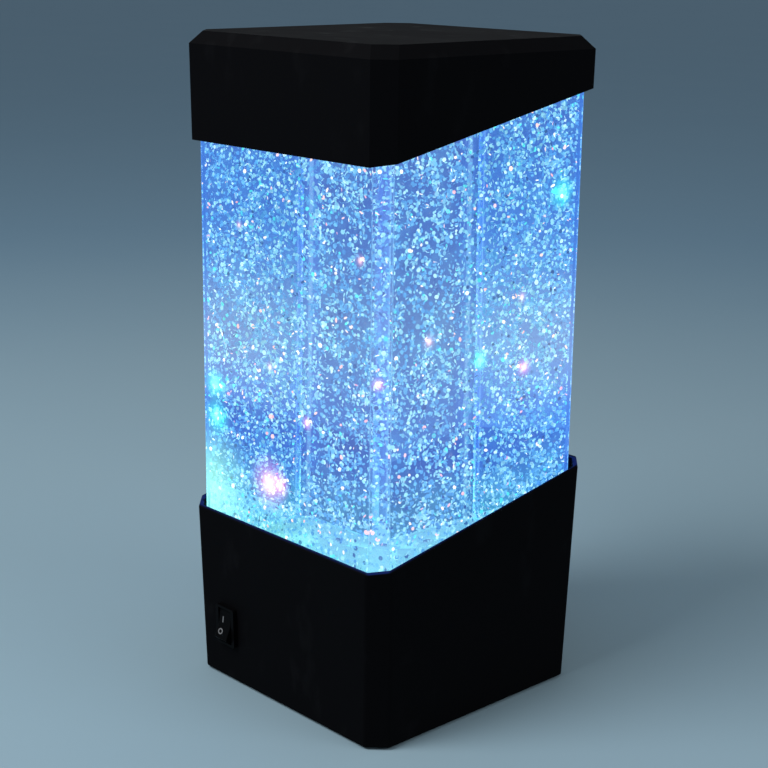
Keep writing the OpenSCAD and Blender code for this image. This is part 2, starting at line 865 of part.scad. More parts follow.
// Leads: each leaves a solder point straight and curves to the next one

lead_r = lead_d / 2;
lead_side = [0.3, 0.2, 1]; // any direction that no lead runs along
board_inset = 4; // from the board's edge to the switched lead
motor_inset = 6; // from the motor's terminals to its leads on the board
terminal_end = body_depth + blade_out;
function wall_point(y, z) = [
    -switch_x,
    -base_half(switch_z) + y * cos(base_draft) - z * sin(base_draft),
    switch_z + y * sin(base_draft) + z * cos(base_draft)
];
tab_end = plate_x + contact_t + bay_wall + tab_l;
motor_tab = motor_d / 2 + 1.5 * terminal_l;

module lead(from, leave, arrive, to) {
    start = from + lead_d * unit(leave);
    finish = to + lead_d * unit(arrive);
    curve = bezier(start, start + leave, finish + arrive, finish, 8);
    tube_along(concat([from], curve, [to]), lead_r, lead_side);
}

module power_leads() {
    plus_tab = [-tab_end - touch, cell_y(0), cell_z];
    live_blade = wall_point(terminal_end + touch, blade_z);
    switched_blade = wall_point(terminal_end + touch, -blade_z);
    board_in = [-switch_x, -board_half_y + board_inset, board_z - touch];
    motor_out = [0, motor_tab + motor_inset, board_z - touch];
    motor_in = [0, motor_tab + touch, motor_z + bell_t / 2];
    color([0.7, 0.08, 0.06]) {
        lead(plus_tab, [-4, 0, 0], [0, 8, 0], live_blade);
        lead(switched_blade, [0, 3, 0], [0, 0, -6], board_in);
        lead(motor_out, [0, 0, -5], [0, 4, 0], motor_in);
    }
}

module return_leads() {
    minus_tab = [tab_end + touch, cell_y(2), cell_z];
    board_in = [post_x, cell_y(2), board_z - touch];
    motor_out = [0, -motor_tab - motor_inset, board_z - touch];
    motor_in = [0, -motor_tab - touch, motor_z + bell_t / 2];
    color([0.06, 0.06, 0.07]) {
        lead(minus_tab, [5, 0, 0], [0, 0, -10], board_in);
        lead(motor_out, [0, 0, -5], [0, -4, 0], motor_in);
    }
}

// Tank

module tank_gasket() {
    inset = 0.5;
    color([0.15, 0.15, 0.16])
        difference() {
            cut_prism(tank_half - inset, inner_leg(tank_leg, inset), ledge_top, tank_z);
            light_opening(ledge_top - over, tank_z + over);
        }
}

// Milky floor that spreads the LEDs' light
module tank_floor() {
    color([0.85, 0.93, 0.97])
        difference() {
            cut_prism(tank_half, tank_leg, tank_z, floor_top);
            translate([0, 0, floor_top - axle_sink])
                cylinder(d = axle_d + press_play, h = axle_sink + over);
        }
}

module tank_walls() {
    color([0.75, 0.88, 1, 0.3])
        difference() {
            cut_prism(tank_half, tank_leg, floor_top, lid_z);
            cut_prism(water_half, water_leg, floor_top - over, lid_z + over);
        }
}

module tank_lid() {
    color([0.75, 0.88, 1, 0.4])
        difference() {
            cut_prism(tank_half, tank_leg, lid_z, lid_top);
            translate([0, 0, lid_z - over])
                cylinder(d = fill_d, h = lid_t + 2 * over);
        }
}

module fill_plug() {
    flange_w = 2;
    flange_h = 1.6;
    tip = 1;
    color([0.2, 0.2, 0.2]) {
        translate([0, 0, lid_top]) cylinder(d = fill_d + 2 * flange_w, h = flange_h);
        translate([0, 0, lid_z - tip]) cylinder(d = fill_d - 2 * pin_play, h = lid_t + tip);
    }
}

module water_fill() {
    color([0.35, 0.62, 0.92, 0.6])
        difference() {
            cut_prism(water_half - water_gap, inner_leg(water_leg, water_gap), floor_top, water_top);
            translate([0, 0, floor_top - over])
                cylinder(r = swirl_r, h = swirl_top - floor_top + over);
        }
}

// Flakes hang in the water, one in each cell of a lattice, each at its own place and tilt
module glitter_flakes() {
    count = flakes_across * flakes_across * flakes_up;
    roll = rands(-1, 1, 6 * count, 11);
    low = swirl_top + flake_d;
    step_xy = 2 * (water_half - water_leg - flake_d) / flakes_across;
    step_z = (water_top - flake_d - low) / flakes_up;
    stray = 0.4; // share of a lattice cell that a flake may stray
    color([0.85, 0.93, 1])
        for (i = [0:flakes_across - 1], j = [0:flakes_across - 1], k = [0:flakes_up - 1])
            let (n = 6 * ((i * flakes_across + j) * flakes_up + k))
                translate([
                    (i + 0.5 - flakes_across / 2 + stray * roll[n]) * step_xy,
                    (j + 0.5 - flakes_across / 2 + stray * roll[n + 1]) * step_xy,
                    low + (k + 0.5 + stray * roll[n + 2]) * step_z
                ])
                    rotate(180 * [roll[n + 3], roll[n + 4], roll[n + 5]])
                        cylinder(d = flake_d, h = flake_t, $fn = 6);
}

// Stirrer: a magnet disc with curved blades, on an axle in the tank's floor

module stirrer() {
    blade_t = 1.4;
    blade_r = stirrer_d / 3;
    blade_z = stirrer_z + stirrer_t;
    color([0.9, 0.95, 1, 0.6])
        difference() {
            union() {
                translate([0, 0, stirrer_z]) cylinder(d = stirrer_d, h = stirrer_t);
                translate([0, 0, stirrer_z]) cylinder(d = stirrer_hub_d, h = stirrer_hub_h);
                intersection() {
                    translate([0, 0, blade_z - over])
                        cylinder(d = stirrer_d - 1, h = blade_h + over);
                    for (i = [0:blade_count - 1])
                        rotate(360 * i / blade_count)
                            translate([stirrer_d / 4, -blade_r, blade_z - over])
                                difference() {
                                    cylinder(r = blade_r, h = blade_h + over);
                                    translate([0, 0, -over])
                                        cylinder(r = blade_r - blade_t, h = blade_h + 3 * over);
                                    translate([-stirrer_d, -2 * stirrer_d, -over])
                                        cube([stirrer_d, 4 * stirrer_d, blade_h + 3 * over]);
                                    translate([-2 * stirrer_d, -2 * stirrer_d, -over])
                                        cube([4 * stirrer_d, 2 * stirrer_d, blade_h + 3 * over]);
                                }
                }
            }
            magnet_pair(stirrer_z, pin_play);
            translate([0, 0, stirrer_z - over])
                cylinder(d = axle_d + 2 * pin_play, h = stirrer_hub_h + 2 * over);
        }
}

module stirrer_magnets() {
    color([0.6, 0.6, 0.62])
        magnet_pair(stirrer_z, 0);
}

module stirrer_axle() {
    color("gainsboro")
        translate([0, 0, floor_top - axle_sink])
            cylinder(d = axle_d, h = axle_top - floor_top + axle_sink);
}

module stirrer_clip() {
    clip_rim = 1.6;
    color([0.9, 0.9, 0.9])
        translate([0, 0, clip_z])
            difference() {
                cylinder(d = axle_d + 2 * clip_rim, h = clip_t);
                translate([0, 0, -over]) cylinder(d = axle_d + press_play, h = clip_t + 2 * over);
            }
}

// Cap

module cap_shell() {
    shoulder = lamp_h - bevel_h;
    ceiling = lamp_h - cap_top_t;
    slant = norm([bevel_run, bevel_h]);
    shoulder_in = shoulder - shell_wall * (slant - bevel_h) / bevel_run;
    top_in = cap_half(shoulder) - (shell_wall * slant + bevel_run * (ceiling - shoulder)) / bevel_h;
    color([0.05, 0.05, 0.055])
        difference() {
            union() {
                difference() {
                    bevelled_block(cap_half(cap_low), cap_half(shoulder), cap_half(shoulder) - bevel_run,
                        corner_leg, cap_low, shoulder, lamp_h);
                    bevelled_block(cap_half(cap_low - over) - shell_wall, cap_half(shoulder) - shell_wall,
                        top_in, inner_leg(corner_leg, shell_wall), cap_low - over, shoulder_in, ceiling);
                }
                tank_ribs(cap_half_low - shell_wall / 2, lid_z, lid_top, tank_half / 2);
            }
            below_plane(cap_low, cap_half_low, cap_slope);
        }
}

module cap_pads() {
    pad_w = 16;
    pad_edge = 4;
    pad_xy = tank_half - tank_leg - pad_w / 2 - pad_edge;
    color([0.2, 0.2, 0.22])
        four(pad_xy, pad_xy)
            translate([-pad_w / 2, -pad_w / 2, lid_top])
                cube([pad_w, pad_w, pad_t]);
}

base_housing();
bottom_cover();
cover_screws();
rubber_feet();
battery_door();
door_pad();
battery_cells();
battery_springs();
battery_contacts();
switch_housing();
switch_rocker();
switch_terminals();
motor_cradle();
cradle_screws();
motor_can();
motor_bell();
motor_shaft();
drive_hub();
drive_magnets();
led_board();
leds();
board_parts();
board_screws();
power_leads();
return_leads();
tank_gasket();
tank_floor();
tank_walls();
tank_lid();
fill_plug();
water_fill();
glitter_flakes();
stirrer();
stirrer_magnets();
stirrer_axle();
stirrer_clip();
cap_shell();
cap_pads();
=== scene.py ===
"""Looks of a square glitter-water lamp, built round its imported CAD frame.

Blender works in metres. A field or argument whose name ends in _mm is in millimetres.
"""

import logging
import math
import random
from collections.abc import Callable, Mapping, Sequence
from dataclasses import dataclass
from enum import Enum
from typing import ClassVar

import bmesh
import bpy
from mathutils import Matrix, Vector
from mathutils.bvhtree import BVHTree


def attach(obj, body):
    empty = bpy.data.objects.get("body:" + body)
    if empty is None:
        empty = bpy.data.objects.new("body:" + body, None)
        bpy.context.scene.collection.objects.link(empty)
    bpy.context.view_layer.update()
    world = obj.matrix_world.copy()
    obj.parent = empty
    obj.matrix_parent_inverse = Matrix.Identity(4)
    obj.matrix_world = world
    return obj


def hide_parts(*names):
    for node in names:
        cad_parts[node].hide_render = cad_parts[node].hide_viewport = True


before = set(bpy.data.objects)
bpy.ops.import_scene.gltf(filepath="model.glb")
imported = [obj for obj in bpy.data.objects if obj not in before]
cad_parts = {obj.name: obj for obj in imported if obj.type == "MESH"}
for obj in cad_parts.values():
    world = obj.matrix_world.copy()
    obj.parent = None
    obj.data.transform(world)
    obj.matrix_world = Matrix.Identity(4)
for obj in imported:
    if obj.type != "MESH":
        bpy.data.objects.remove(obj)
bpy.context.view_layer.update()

LOG = logging.getLogger("glitter_lamp")
MM = 0.001
WELD_M = 1e-6
FLAT_DEG = 0.6
UPWARD = 0.5
ACRYLIC_INDEX = 1.49
WATER_INDEX = 1.40
TANK_HALF_MM = 48.9
WATER_LOW_MM = 47.6
WATER_HIGH_MM = 221.3
FOAM_CREASE_DEG = 50.0

Rgb = tuple[float, float, float]
Point = tuple[float, float, float]
Span = tuple[float, float]
Ring = list[tuple[float, float]]
Stops = tuple[tuple[float, Rgb], ...]

UNLIT: Rgb = (0.0, 0.0, 0.0)


# Shader sums


class Sock:
    """A shader socket that takes part in sums like a number."""

    def __init__(self, shader: "Shader", socket: bpy.types.NodeSocket) -> None:
        """Keep the socket and the shader that owns it."""
        self.shader = shader
        self.socket = socket

    def _math(self, operation: str, *values: "Sock | float") -> "Sock":
        """Add one Math node with that operation and those inputs."""
        return self.shader.add("ShaderNodeMath", {"operation": operation}, dict(enumerate(values)))

    def __add__(self, other: "Sock | float") -> "Sock":
        """Sum of two values."""
        return self._math("ADD", self, other)

    def __radd__(self, other: float) -> "Sock":
        """Sum with a number on the left."""
        return self._math("ADD", other, self)

    def __sub__(self, other: "Sock | float") -> "Sock":
        """Difference of two values."""
        return self._math("SUBTRACT", self, other)

    def __rsub__(self, other: float) -> "Sock":
        """Difference from a number on the left."""
        return self._math("SUBTRACT", other, self)

    def __mul__(self, other: "Sock | float") -> "Sock":
        """Product of two values."""
        return self._math("MULTIPLY", self, other)

    def __rmul__(self, other: float) -> "Sock":
        """Product with a number on the left."""
        return self._math("MULTIPLY", other, self)

    def __truediv__(self, other: "Sock | float") -> "Sock":
        """Quotient of two values."""
        return self._math("DIVIDE", self, other)

    def __pow__(self, other: float) -> "Sock":
        """Power of a value."""
        return self._math("POWER", self, other)

    def size(self) -> "Sock":
        """The value without its sign."""
        return self._math("ABSOLUTE", self)

    def most(self, other: "Sock | float") -> "Sock":
        """The larger of two values."""
        return self._math("MAXIMUM", self, other)

    def clamped(self) -> "Sock":
        """The value held between 0 and 1."""
        return self.shader.add("ShaderNodeClamp", None, {0: self})

    def between(self, low: float, high: float) -> "Sock":
        """The value spread out, from low where it is 0 to high where it is 1."""
        return low + (high - low) * self

    def step(self, start: float, end: float) -> "Sock":
        """A soft step from 0 at start to 1 at end."""
        settings = {"interpolation_type": "SMOOTHSTEP"}
        return self.shader.add("ShaderNodeMapRange", settings, {0: self, 1: start, 2: end})

    def window(self, rise: Span, fall: Span) -> "Sock":
        """1 between two soft steps, one that rises and one that falls, and 0 outside."""
        return self.step(*rise) * (1 - self.step(*fall))


class Shader:
    """A material's node tree with the few nodes that the finishes share."""

    def __init__(self, name: str) -> None:
        """Start an empty material.

        Args:
            name: The material's name.
        """
        self.material = bpy.data.materials.new(name)
        self.material.use_nodes = True
        self.tree = self.material.node_tree
        self.tree.nodes.clear()

    def node(
        self,
        kind: str,
        settings: Mapping[str, object] | None = None,
        sockets: Mapping[str | int, object] | None = None,
    ) -> bpy.types.Node:
        """Add one node.

        Args:
            kind: The node's type.
            settings: Its own settings, set first; "stops" are a ramp's stops.
            sockets: Values or links of its inputs, by name or number.

        Returns:
            The new node.
        """
        node = self.tree.nodes.new(kind)
        for key, value in (settings or {}).items():
            if key == "stops":
                self._stops(node.color_ramp, value)
            else:
                setattr(node, key, value)
        for key, value in (sockets or {}).items():
            target = node.inputs[key]
            if isinstance(value, Sock):
                self.tree.links.new(value.socket, target)
            elif target.type == "RGBA" and len(value) == 3:
                target.default_value = (*value, 1.0)
            else:
                target.default_value = value
        return node

    def add(
        self,
        kind: str,
        settings: Mapping[str, object] | None = None,
        sockets: Mapping[str | int, object] | None = None,
        output: str | int = 0,
    ) -> Sock:
        """Add one node, as node does, and hand back one of its outputs."""
        return Sock(self, self.node(kind, settings, sockets).outputs[output])

    @staticmethod
    def _stops(ramp: bpy.types.ColorRamp, stops: Stops) -> None:
        """Set a ramp's stops.

        Args:
            ramp: The ramp, with two stops or more.
            stops: Each stop's place, from 0 to 1, and its colour.
        """
        while len(ramp.elements) < len(stops):
            ramp.elements.new(1.0)
        for element, (place, colour) in zip(ramp.elements, stops):
            element.position = place
            element.color = (*colour, 1.0)

    def place(self) -> Sock:
        """The point on the piece, in metres."""
        return self.add("ShaderNodeTexCoord", None, None, "Object")

    def axis(self, letter: str) -> Sock:
        """One coordinate of the point on the piece, in millimetres."""
        split = self.add("ShaderNodeSeparateXYZ", None, {0: self.place()}, letter)
        return split * (1 / MM)

    def facing(self, letter: str) -> Sock:
        """One part of the surface's normal."""
        normal = self.add("ShaderNodeTexCoord", None, None, "Normal")
        return self.add("ShaderNodeSeparateXYZ", None, {0: normal}, letter)

    def vector(self, operation: str, other: Point, output: str) -> Sock:
        """One Vector Math node on the point on the piece and another vector."""
        sockets = {0: self.place(), 1: other}
        return self.add("ShaderNodeVectorMath", {"operation": operation}, sockets, output)

    def distance(self, at_mm: Point) -> Sock:
        """How far the point on the piece lies from a place, in millimetres."""
        return self.vector("DISTANCE", tuple(v * MM for v in at_mm), "Value") * (1 / MM)

    def cells(self, size_mm: float) -> Sock:
        """Distance to the middle of the nearest of many cells of that size."""
        sockets = {"Vector": self.place(), "Scale": 1 / (size_mm * MM)}
        return self.add("ShaderNodeTexVoronoi", {"feature": "F1"}, sockets, "Distance")

    def island(self) -> Sock:
        """A chance value for each separate bit of the mesh."""
        return self.add("ShaderNodeNewGeometry", None, None, "Random Per Island")

    def ramp(self, value: Sock, stops: Stops) -> Sock:
        """The value turned into colours by a ramp's stops."""
        return self.add("ShaderNodeValToRGB", {"stops": stops}, {0: value})

    def mix(
        self, share: Sock, first: Sock | Rgb, second: Sock | Rgb, blend: str = "MIX"
    ) -> Sock:
        """Mix two colours: share says how much of the second lies over the first."""
        settings = {"data_type": "RGBA", "blend_type": blend, "clamp_result": False}
        return self.add("ShaderNodeMix", settings, {0: share, 6: first, 7: second}, 2)

    def bump(self, height: Sock, depth_mm: float) -> Sock:
        """A normal roughened by a height of that depth."""
        return self.add("ShaderNodeBump", None, {"Distance": depth_mm * MM, "Height": height})

    def surface(self, sockets: Mapping[str, object]) -> bpy.types.Material:
        """Close the material with one principled surface.

        Args:
            sockets: Values or links of the surface's sockets.

        Returns:
            The finished material.
        """
        body = self.add("ShaderNodeBsdfPrincipled", None, sockets)
        self.node("ShaderNodeOutputMaterial", None, {"Surface": body})
        return self.material


@dataclass(frozen=True)
class Blots:
    """A layer of cloudy noise.

    size_mm is the size of its largest blots and detail the number of finer layers on them. A
    small stretch draws the blots out along that axis. With edges, they get soft edges between
    those two values.
    """

    size_mm: float
    detail: float = 2.0
    stretch: Point = (1.0, 1.0, 1.0)
    edges: Span | None = None

    def on(self, shader: Shader) -> Sock:
        """Lay the blots on a surface.

        Args:
            shader: The surface's material.

        Returns:
            A value round one half, or from 0 to 1 with edges.
        """
        sockets = {
            "Vector": shader.vector("MULTIPLY", self.stretch, "Vector"),
            "Scale": 1 / (self.size_mm * MM),
            "Detail": self.detail,
        }
        cloud = shader.add("ShaderNodeTexNoise", None, sockets, "Fac")
        return cloud.step(*self.edges) if self.edges else cloud


# Flares


class Glint(Enum):
    """The kinds of glint that flakes give."""

    PALE = "pale"
    BLUE = "blue"
    GREEN = "green"
    WARM = "warm"
    HOT = "hot"
    DARK = "dark"


@dataclass(frozen=True)
class Tone:
    """The colours of a flare."""

    halo: Rgb
    core: Rgb


@dataclass(frozen=True)
class Flare:
    """A spot at the tank's wall where drifting film throws the light back strongly."""

    at_mm: Point
    reach_mm: float
    glint: Glint
    flakes: int


FLARE_TONES: dict[Glint, Tone] = {
    Glint.PALE: Tone((0.20, 0.48, 0.14), (0.04, 0.06, 0.0)),
    Glint.GREEN: Tone((0.02, 0.62, 0.42), (0.16, 0.45, 0.30)),
    Glint.WARM: Tone((0.30, 0.10, 0.06), (0.70, 0.45, 0.30)),
    Glint.HOT: Tone((0.52, 0.05, 0.24), (0.80, 0.62, 0.30)),
}

FRONT_MM = -TANK_HALF_MM
RIGHT_MM = TANK_HALF_MM
FLARES: tuple[Flare, ...] = (
    Flare((-7.5, FRONT_MM, 82.0), 12.5, Glint.HOT, 14),
    Flare((-1.5, FRONT_MM, 83.0), 6.0, Glint.HOT, 4),
    Flare((-40.0, FRONT_MM, 74.0), 29.0, Glint.PALE, 0),
    Flare((-37.0, FRONT_MM, 99.9), 8.5, Glint.GREEN, 8),
    Flare((-37.9, FRONT_MM, 111.6), 7.5, Glint.GREEN, 8),
    Flare((RIGHT_MM, 34.7, 182.9), 7.5, Glint.GREEN, 8),
    Flare((RIGHT_MM, -3.6, 129.9), 5.0, Glint.GREEN, 4),
    Flare((RIGHT_MM, 18.5, 123.8), 4.6, Glint.HOT, 4),
    Flare((12.8, FRONT_MM, 108.5), 3.4, Glint.HOT, 2),
    Flare((45.9, -47.1, 128.3), 3.2, Glint.HOT, 2),
    Flare((RIGHT_MM, -27.7, 140.0), 4.0, Glint.WARM, 4),
    Flare((38.7, FRONT_MM, 167.7), 3.2, Glint.WARM, 3),
    Flare((RIGHT_MM, 16.2, 148.8), 3.2, Glint.WARM, 3),
    Flare((-6.7, FRONT_MM, 124.1), 2.8, Glint.WARM, 2),
    Flare((-23.0, FRONT_MM, 170.9), 2.6, Glint.WARM, 2),
)


# Finishes


def toned(colour: Rgb, gain: float, lift: float = 0.0) -> Rgb:
    """A colour made lighter or darker."""
    return tuple(min(1.0, gain * part + lift) for part in colour)


class Finish:
    """A way to finish a surface; each kind names its shader's sockets."""

    def sockets(self, shader: Shader) -> dict[str, object]:
        """The principled surface's sockets, by name."""
        raise NotImplementedError

    def material(self, name: str) -> bpy.types.Material:
        """Make the finish's material.

        Args:
            name: The material's name.

        Returns:
            The material; its glow shows, but doesn't count as a lamp.
        """
        shader = Shader(name)
        made = shader.surface(self.sockets(shader))
        made.cycles.emission_sampling = "NONE"
        return made


@dataclass(frozen=True)
class MouldedPlastic(Finish):
    """Moulded plastic with a fine spark-eroded grain, faint flow clouds and rubbed spots."""

    colour: Rgb
    rubbed: Rgb
    rough: float = 0.55
    gloss: float = 0.2
    grain: Blots = Blots(0.45, 3)
    depth_mm: float = 0.03
    clouds: Blots = Blots(28, 3)
    uneven: float = 0.08
    rub: Blots = Blots(9, 5, (1, 1, 0.45), (0.58, 0.74))
    rub_share: Span = (0.35, 0.75)
    rub_shine: float = 0.1

    def sockets(self, shader: Shader) -> dict[str, object]:
        """Grain in the normal, clouds in roughness, rubbed spots in colour.

        Args:
            shader: The material to build.

        Returns:
            The surface's sockets, by name.
        """
        grain, clouds, rub = (blots.on(shader) for blots in (self.grain, self.clouds, self.rub))
        rough = clouds.between(self.rough - self.uneven, self.rough + self.uneven)
        share = rub * grain.between(*self.rub_share)
        return {
            "Base Color": shader.mix(share, self.colour, self.rubbed),
            "Roughness": (rough - self.rub_shine * rub).clamped(),
            "Specular IOR Level": self.gloss,
            "Normal": shader.bump(grain, self.depth_mm),
        }


@dataclass(frozen=True)
class RimLitPlastic(MouldedPlastic):
    """Moulded plastic of a shell whose rim catches light from the tank beside it."""

    spill: Rgb = (0.004, 0.014, 0.10)
    inner_mm: Span = (-1.5, -0.3)
    outer_mm: Span = (1.4, 2.6)
    low_mm: Span = (42.0, 45.0)
    high_mm: Span = (222.0, 225.0)
    level: Span = (0.25, 0.75)

    def sockets(self, shader: Shader) -> dict[str, object]:
        """The plain finish, with light on what faces up or down along the tank.

        Args:
            shader: The material to build.

        Returns:
            The surface's sockets, by name.
        """
        out = shader.axis("X").size().most(shader.axis("Y").size()) - TANK_HALF_MM
        ring = out.window(self.inner_mm, self.outer_mm)
        beside = shader.axis("Z").window(self.low_mm, self.high_mm)
        rim = ring * beside * shader.facing("Z").size().step(*self.level)
        return {
            **super().sockets(shader),
            "Emission Color": shader.mix(rim, UNLIT, self.spill),
            "Emission Strength": 1.0,
        }


@dataclass(frozen=True)
class PlatedMetal(Finish):
    """Plated metal with drawn lines and dull stains."""

    colour: Rgb
    rough: float = 0.28
    stain: Rgb = (0.32, 0.31, 0.30)
    lines: Blots = Blots(0.5, 2, (1, 1, 0.06))
    depth_mm: float = 0.008
    uneven: float = 0.08
    stains: Blots = Blots(4, 4, edges=(0.55, 0.8))
    stain_share: float = 0.4
    stain_rough: float = 0.15

    def sockets(self, shader: Shader) -> dict[str, object]:
        """Drawn lines in roughness and normal, stains in colour.

        Args:
            shader: The material to build.

        Returns:
            The surface's sockets, by name.
        """
        lines, stains = self.lines.on(shader), self.stains.on(shader)
        rough = lines.between(self.rough - self.uneven, self.rough + self.uneven)
        return {
            "Base Color": shader.mix(stains * self.stain_share, self.colour, self.stain),
            "Metallic": 1.0,
            "Roughness": (rough + self.stain_rough * stains).clamped(),
            "Normal": shader.bump(lines, self.depth_mm),
        }


@dataclass(frozen=True)
class PorousFoam(Finish):
    """Closed-cell foam or rubber with small pores."""

    colour: Rgb
    pore_mm: float = 0.5
    depth_mm: float = 0.12
    rough: float = 0.9
    uneven: Span = (-0.1, 0.05)
    dust: Blots = Blots(6, 4)
    dust_share: float = 0.5
    dust_tone: Span = (2.2, 0.01)
    gloss: float = 0.2

    def sockets(self, shader: Shader) -> dict[str, object]:
        """Pores in normal and colour, dust in roughness.

        Args:
            shader: The material to build.

        Returns:
            The surface's sockets, by name.
        """
        pores, dust = shader.cells(self.pore_mm), self.dust.on(shader)
        share = (pores * self.dust_share * dust).clamped()
        return {
            "Base Color": shader.mix(share, self.colour, toned(self.colour, *self.dust_tone)),
            "Roughness": dust.between(*(self.rough + part for part in self.uneven)).clamped(),
            "Specular IOR Level": self.gloss,
            "Normal": shader.bump(pores, self.depth_mm),
        }


@dataclass(frozen=True)
class SolderBoard(Finish):
    """Circuit board with copper tracks under a lacquer."""

    lacquer: Rgb = (0.03, 0.20, 0.09)
    track: Rgb = (0.07, 0.34, 0.15)
    track_mm: float = 6.0
    gap: float = 0.06
    gap_edge: float = 0.1
    depth_mm: float = 0.04
    waves: Blots = Blots(5)
    rough: Span = (0.25, 0.45)
    coat: float = 0.4

    def sockets(self, shader: Shader) -> dict[str, object]:
        """Tracks in a brick pattern with bare lacquer in its gaps, waves in roughness.

        Args:
            shader: The material to build.

        Returns:
            The surface's sockets, by name.
        """
        sockets = {
            "Vector": shader.place(),
            "Scale": 1 / (self.track_mm * MM),
            "Mortar Size": self.gap,
            "Mortar Smooth": self.gap_edge,
        }
        gaps = shader.add("ShaderNodeTexBrick", None, sockets, "Fac")
        return {
            "Base Color": shader.mix(gaps, self.track, self.lacquer),
            "Roughness": self.waves.on(shader).between(*self.rough),
            "Coat Weight": self.coat,
            "Normal": shader.bump(1 - gaps, self.depth_mm),
        }


@dataclass(frozen=True)
class CellSleeve(Finish):
    """Plain shrink sleeve over a steel cell, with bare steel ends."""

    sleeve: Rgb = (0.10, 0.16, 0.24)
    band: Rgb = (0.62, 0.60, 0.56)
    steel: Rgb = (0.60, 0.60, 0.61)
    end_mm: Span = (24.2, 24.4)
    band_mm: Span = (16.0, 16.15)
    wrinkles: Blots = Blots(1.6, 3, (0.2, 1, 1))
    depth_mm: float = 0.03
    rough: Span = (0.22, 0.40)

    def sockets(self, shader: Shader) -> dict[str, object]:
        """A pale band at one end, wrinkles all over the sleeve.

        Args:
            shader: The material to build.

        Returns:
            The surface's sockets, by name.
        """
        along, wrinkles = shader.axis("X"), self.wrinkles.on(shader)
        ends = (along * along).step(*(place**2 for place in self.end_mm))
        sleeve = shader.mix(along.step(*self.band_mm), self.sleeve, self.band)
        return {
            "Base Color": shader.mix(ends, sleeve, self.steel),
            "Metallic": ends,
            "Roughness": wrinkles.between(*self.rough),
            "Normal": shader.bump(wrinkles, self.depth_mm),
        }


@dataclass(frozen=True)
class LeadSleeve(Finish):
    """Soft insulation of a lead, faintly ribbed by its strands."""

    colour: Rgb
    strands: Blots = Blots(0.8, 2, (0.3, 0.3, 1))
    depth_mm: float = 0.03
    marks: Blots = Blots(5, 3)
    mark_share: float = 0.6
    mark_tone: Span = (0.55, 0.01)
    rough: Span = (0.38, 0.58)

    def sockets(self, shader: Shader) -> dict[str, object]:
        """Strands in the normal, handling marks in colour.

        Args:
            shader: The material to build.

        Returns:
            The surface's sockets, by name.
        """
        marks, dull = self.marks.on(shader), toned(self.colour, *self.mark_tone)
        return {
            "Base Color": shader.mix(marks * self.mark_share, self.colour, dull),
            "Roughness": marks.between(*self.rough),
            "Normal": shader.bump(self.strands.on(shader), self.depth_mm),
        }


@dataclass(frozen=True)
class ClearAcrylic(Finish):
    """Polished clear acrylic that carries a little of the lamp's own light in its edges."""

    tint: Rgb = (0.95, 0.97, 1.0)
    glow: Rgb = (0.001, 0.002, 0.006)
    corner_glow: Rgb = (0.02, 0.035, 0.08)
    seam_glow: Rgb = (0.30, 0.42, 0.36)
    index: float = ACRYLIC_INDEX
    seam_mm: Span = (0.9, 1.9)
    seam_from_mm: Span = (70.0, 80.0)
    corner: Span = (0.2, 0.42)
    corner_least: float = 0.4
    smears: Blots = Blots(14, 3, (1, 1, 0.25))
    smear_edges: Span = (0.35, 0.8)
    smear_rough: float = 0.035

    def light(self, shader: Shader, corner: Sock) -> Sock:
        """The light of a surface, strongest along the glued seam at the back corner.

        Args:
            shader: The material to build.
            corner: How much a point counts as a flat on a corner.

        Returns:
            The colour of the light.
        """
        x, y = shader.axis("X"), shader.axis("Y")
        seam = corner * (1 - (x + y).size().step(*self.seam_mm))
        seam = (seam * (y - x).step(*self.seam_from_mm)).clamped()
        light = shader.mix(corner, self.glow, self.corner_glow)
        return shader.mix(seam, light, self.seam_glow)

    def sockets(self, shader: Shader) -> dict[str, object]:
        """Polishing smears in roughness; the flats on the corners carry more light.

        Args:
            shader: The material to build.

        Returns:
            The surface's sockets, by name.
        """
        smears = self.smears.on(shader)
        corner = (shader.facing("X") * shader.facing("Y")).size().step(*self.corner)
        return {
            "Base Color": self.tint,
            "Transmission Weight": 1.0,
            "IOR": self.index,
            "Roughness": self.smear_rough * smears.step(*self.smear_edges),
            "Emission Color": self.light(shader, corner * (self.corner_least + smears)),
            "Emission Strength": 1.0,
        }


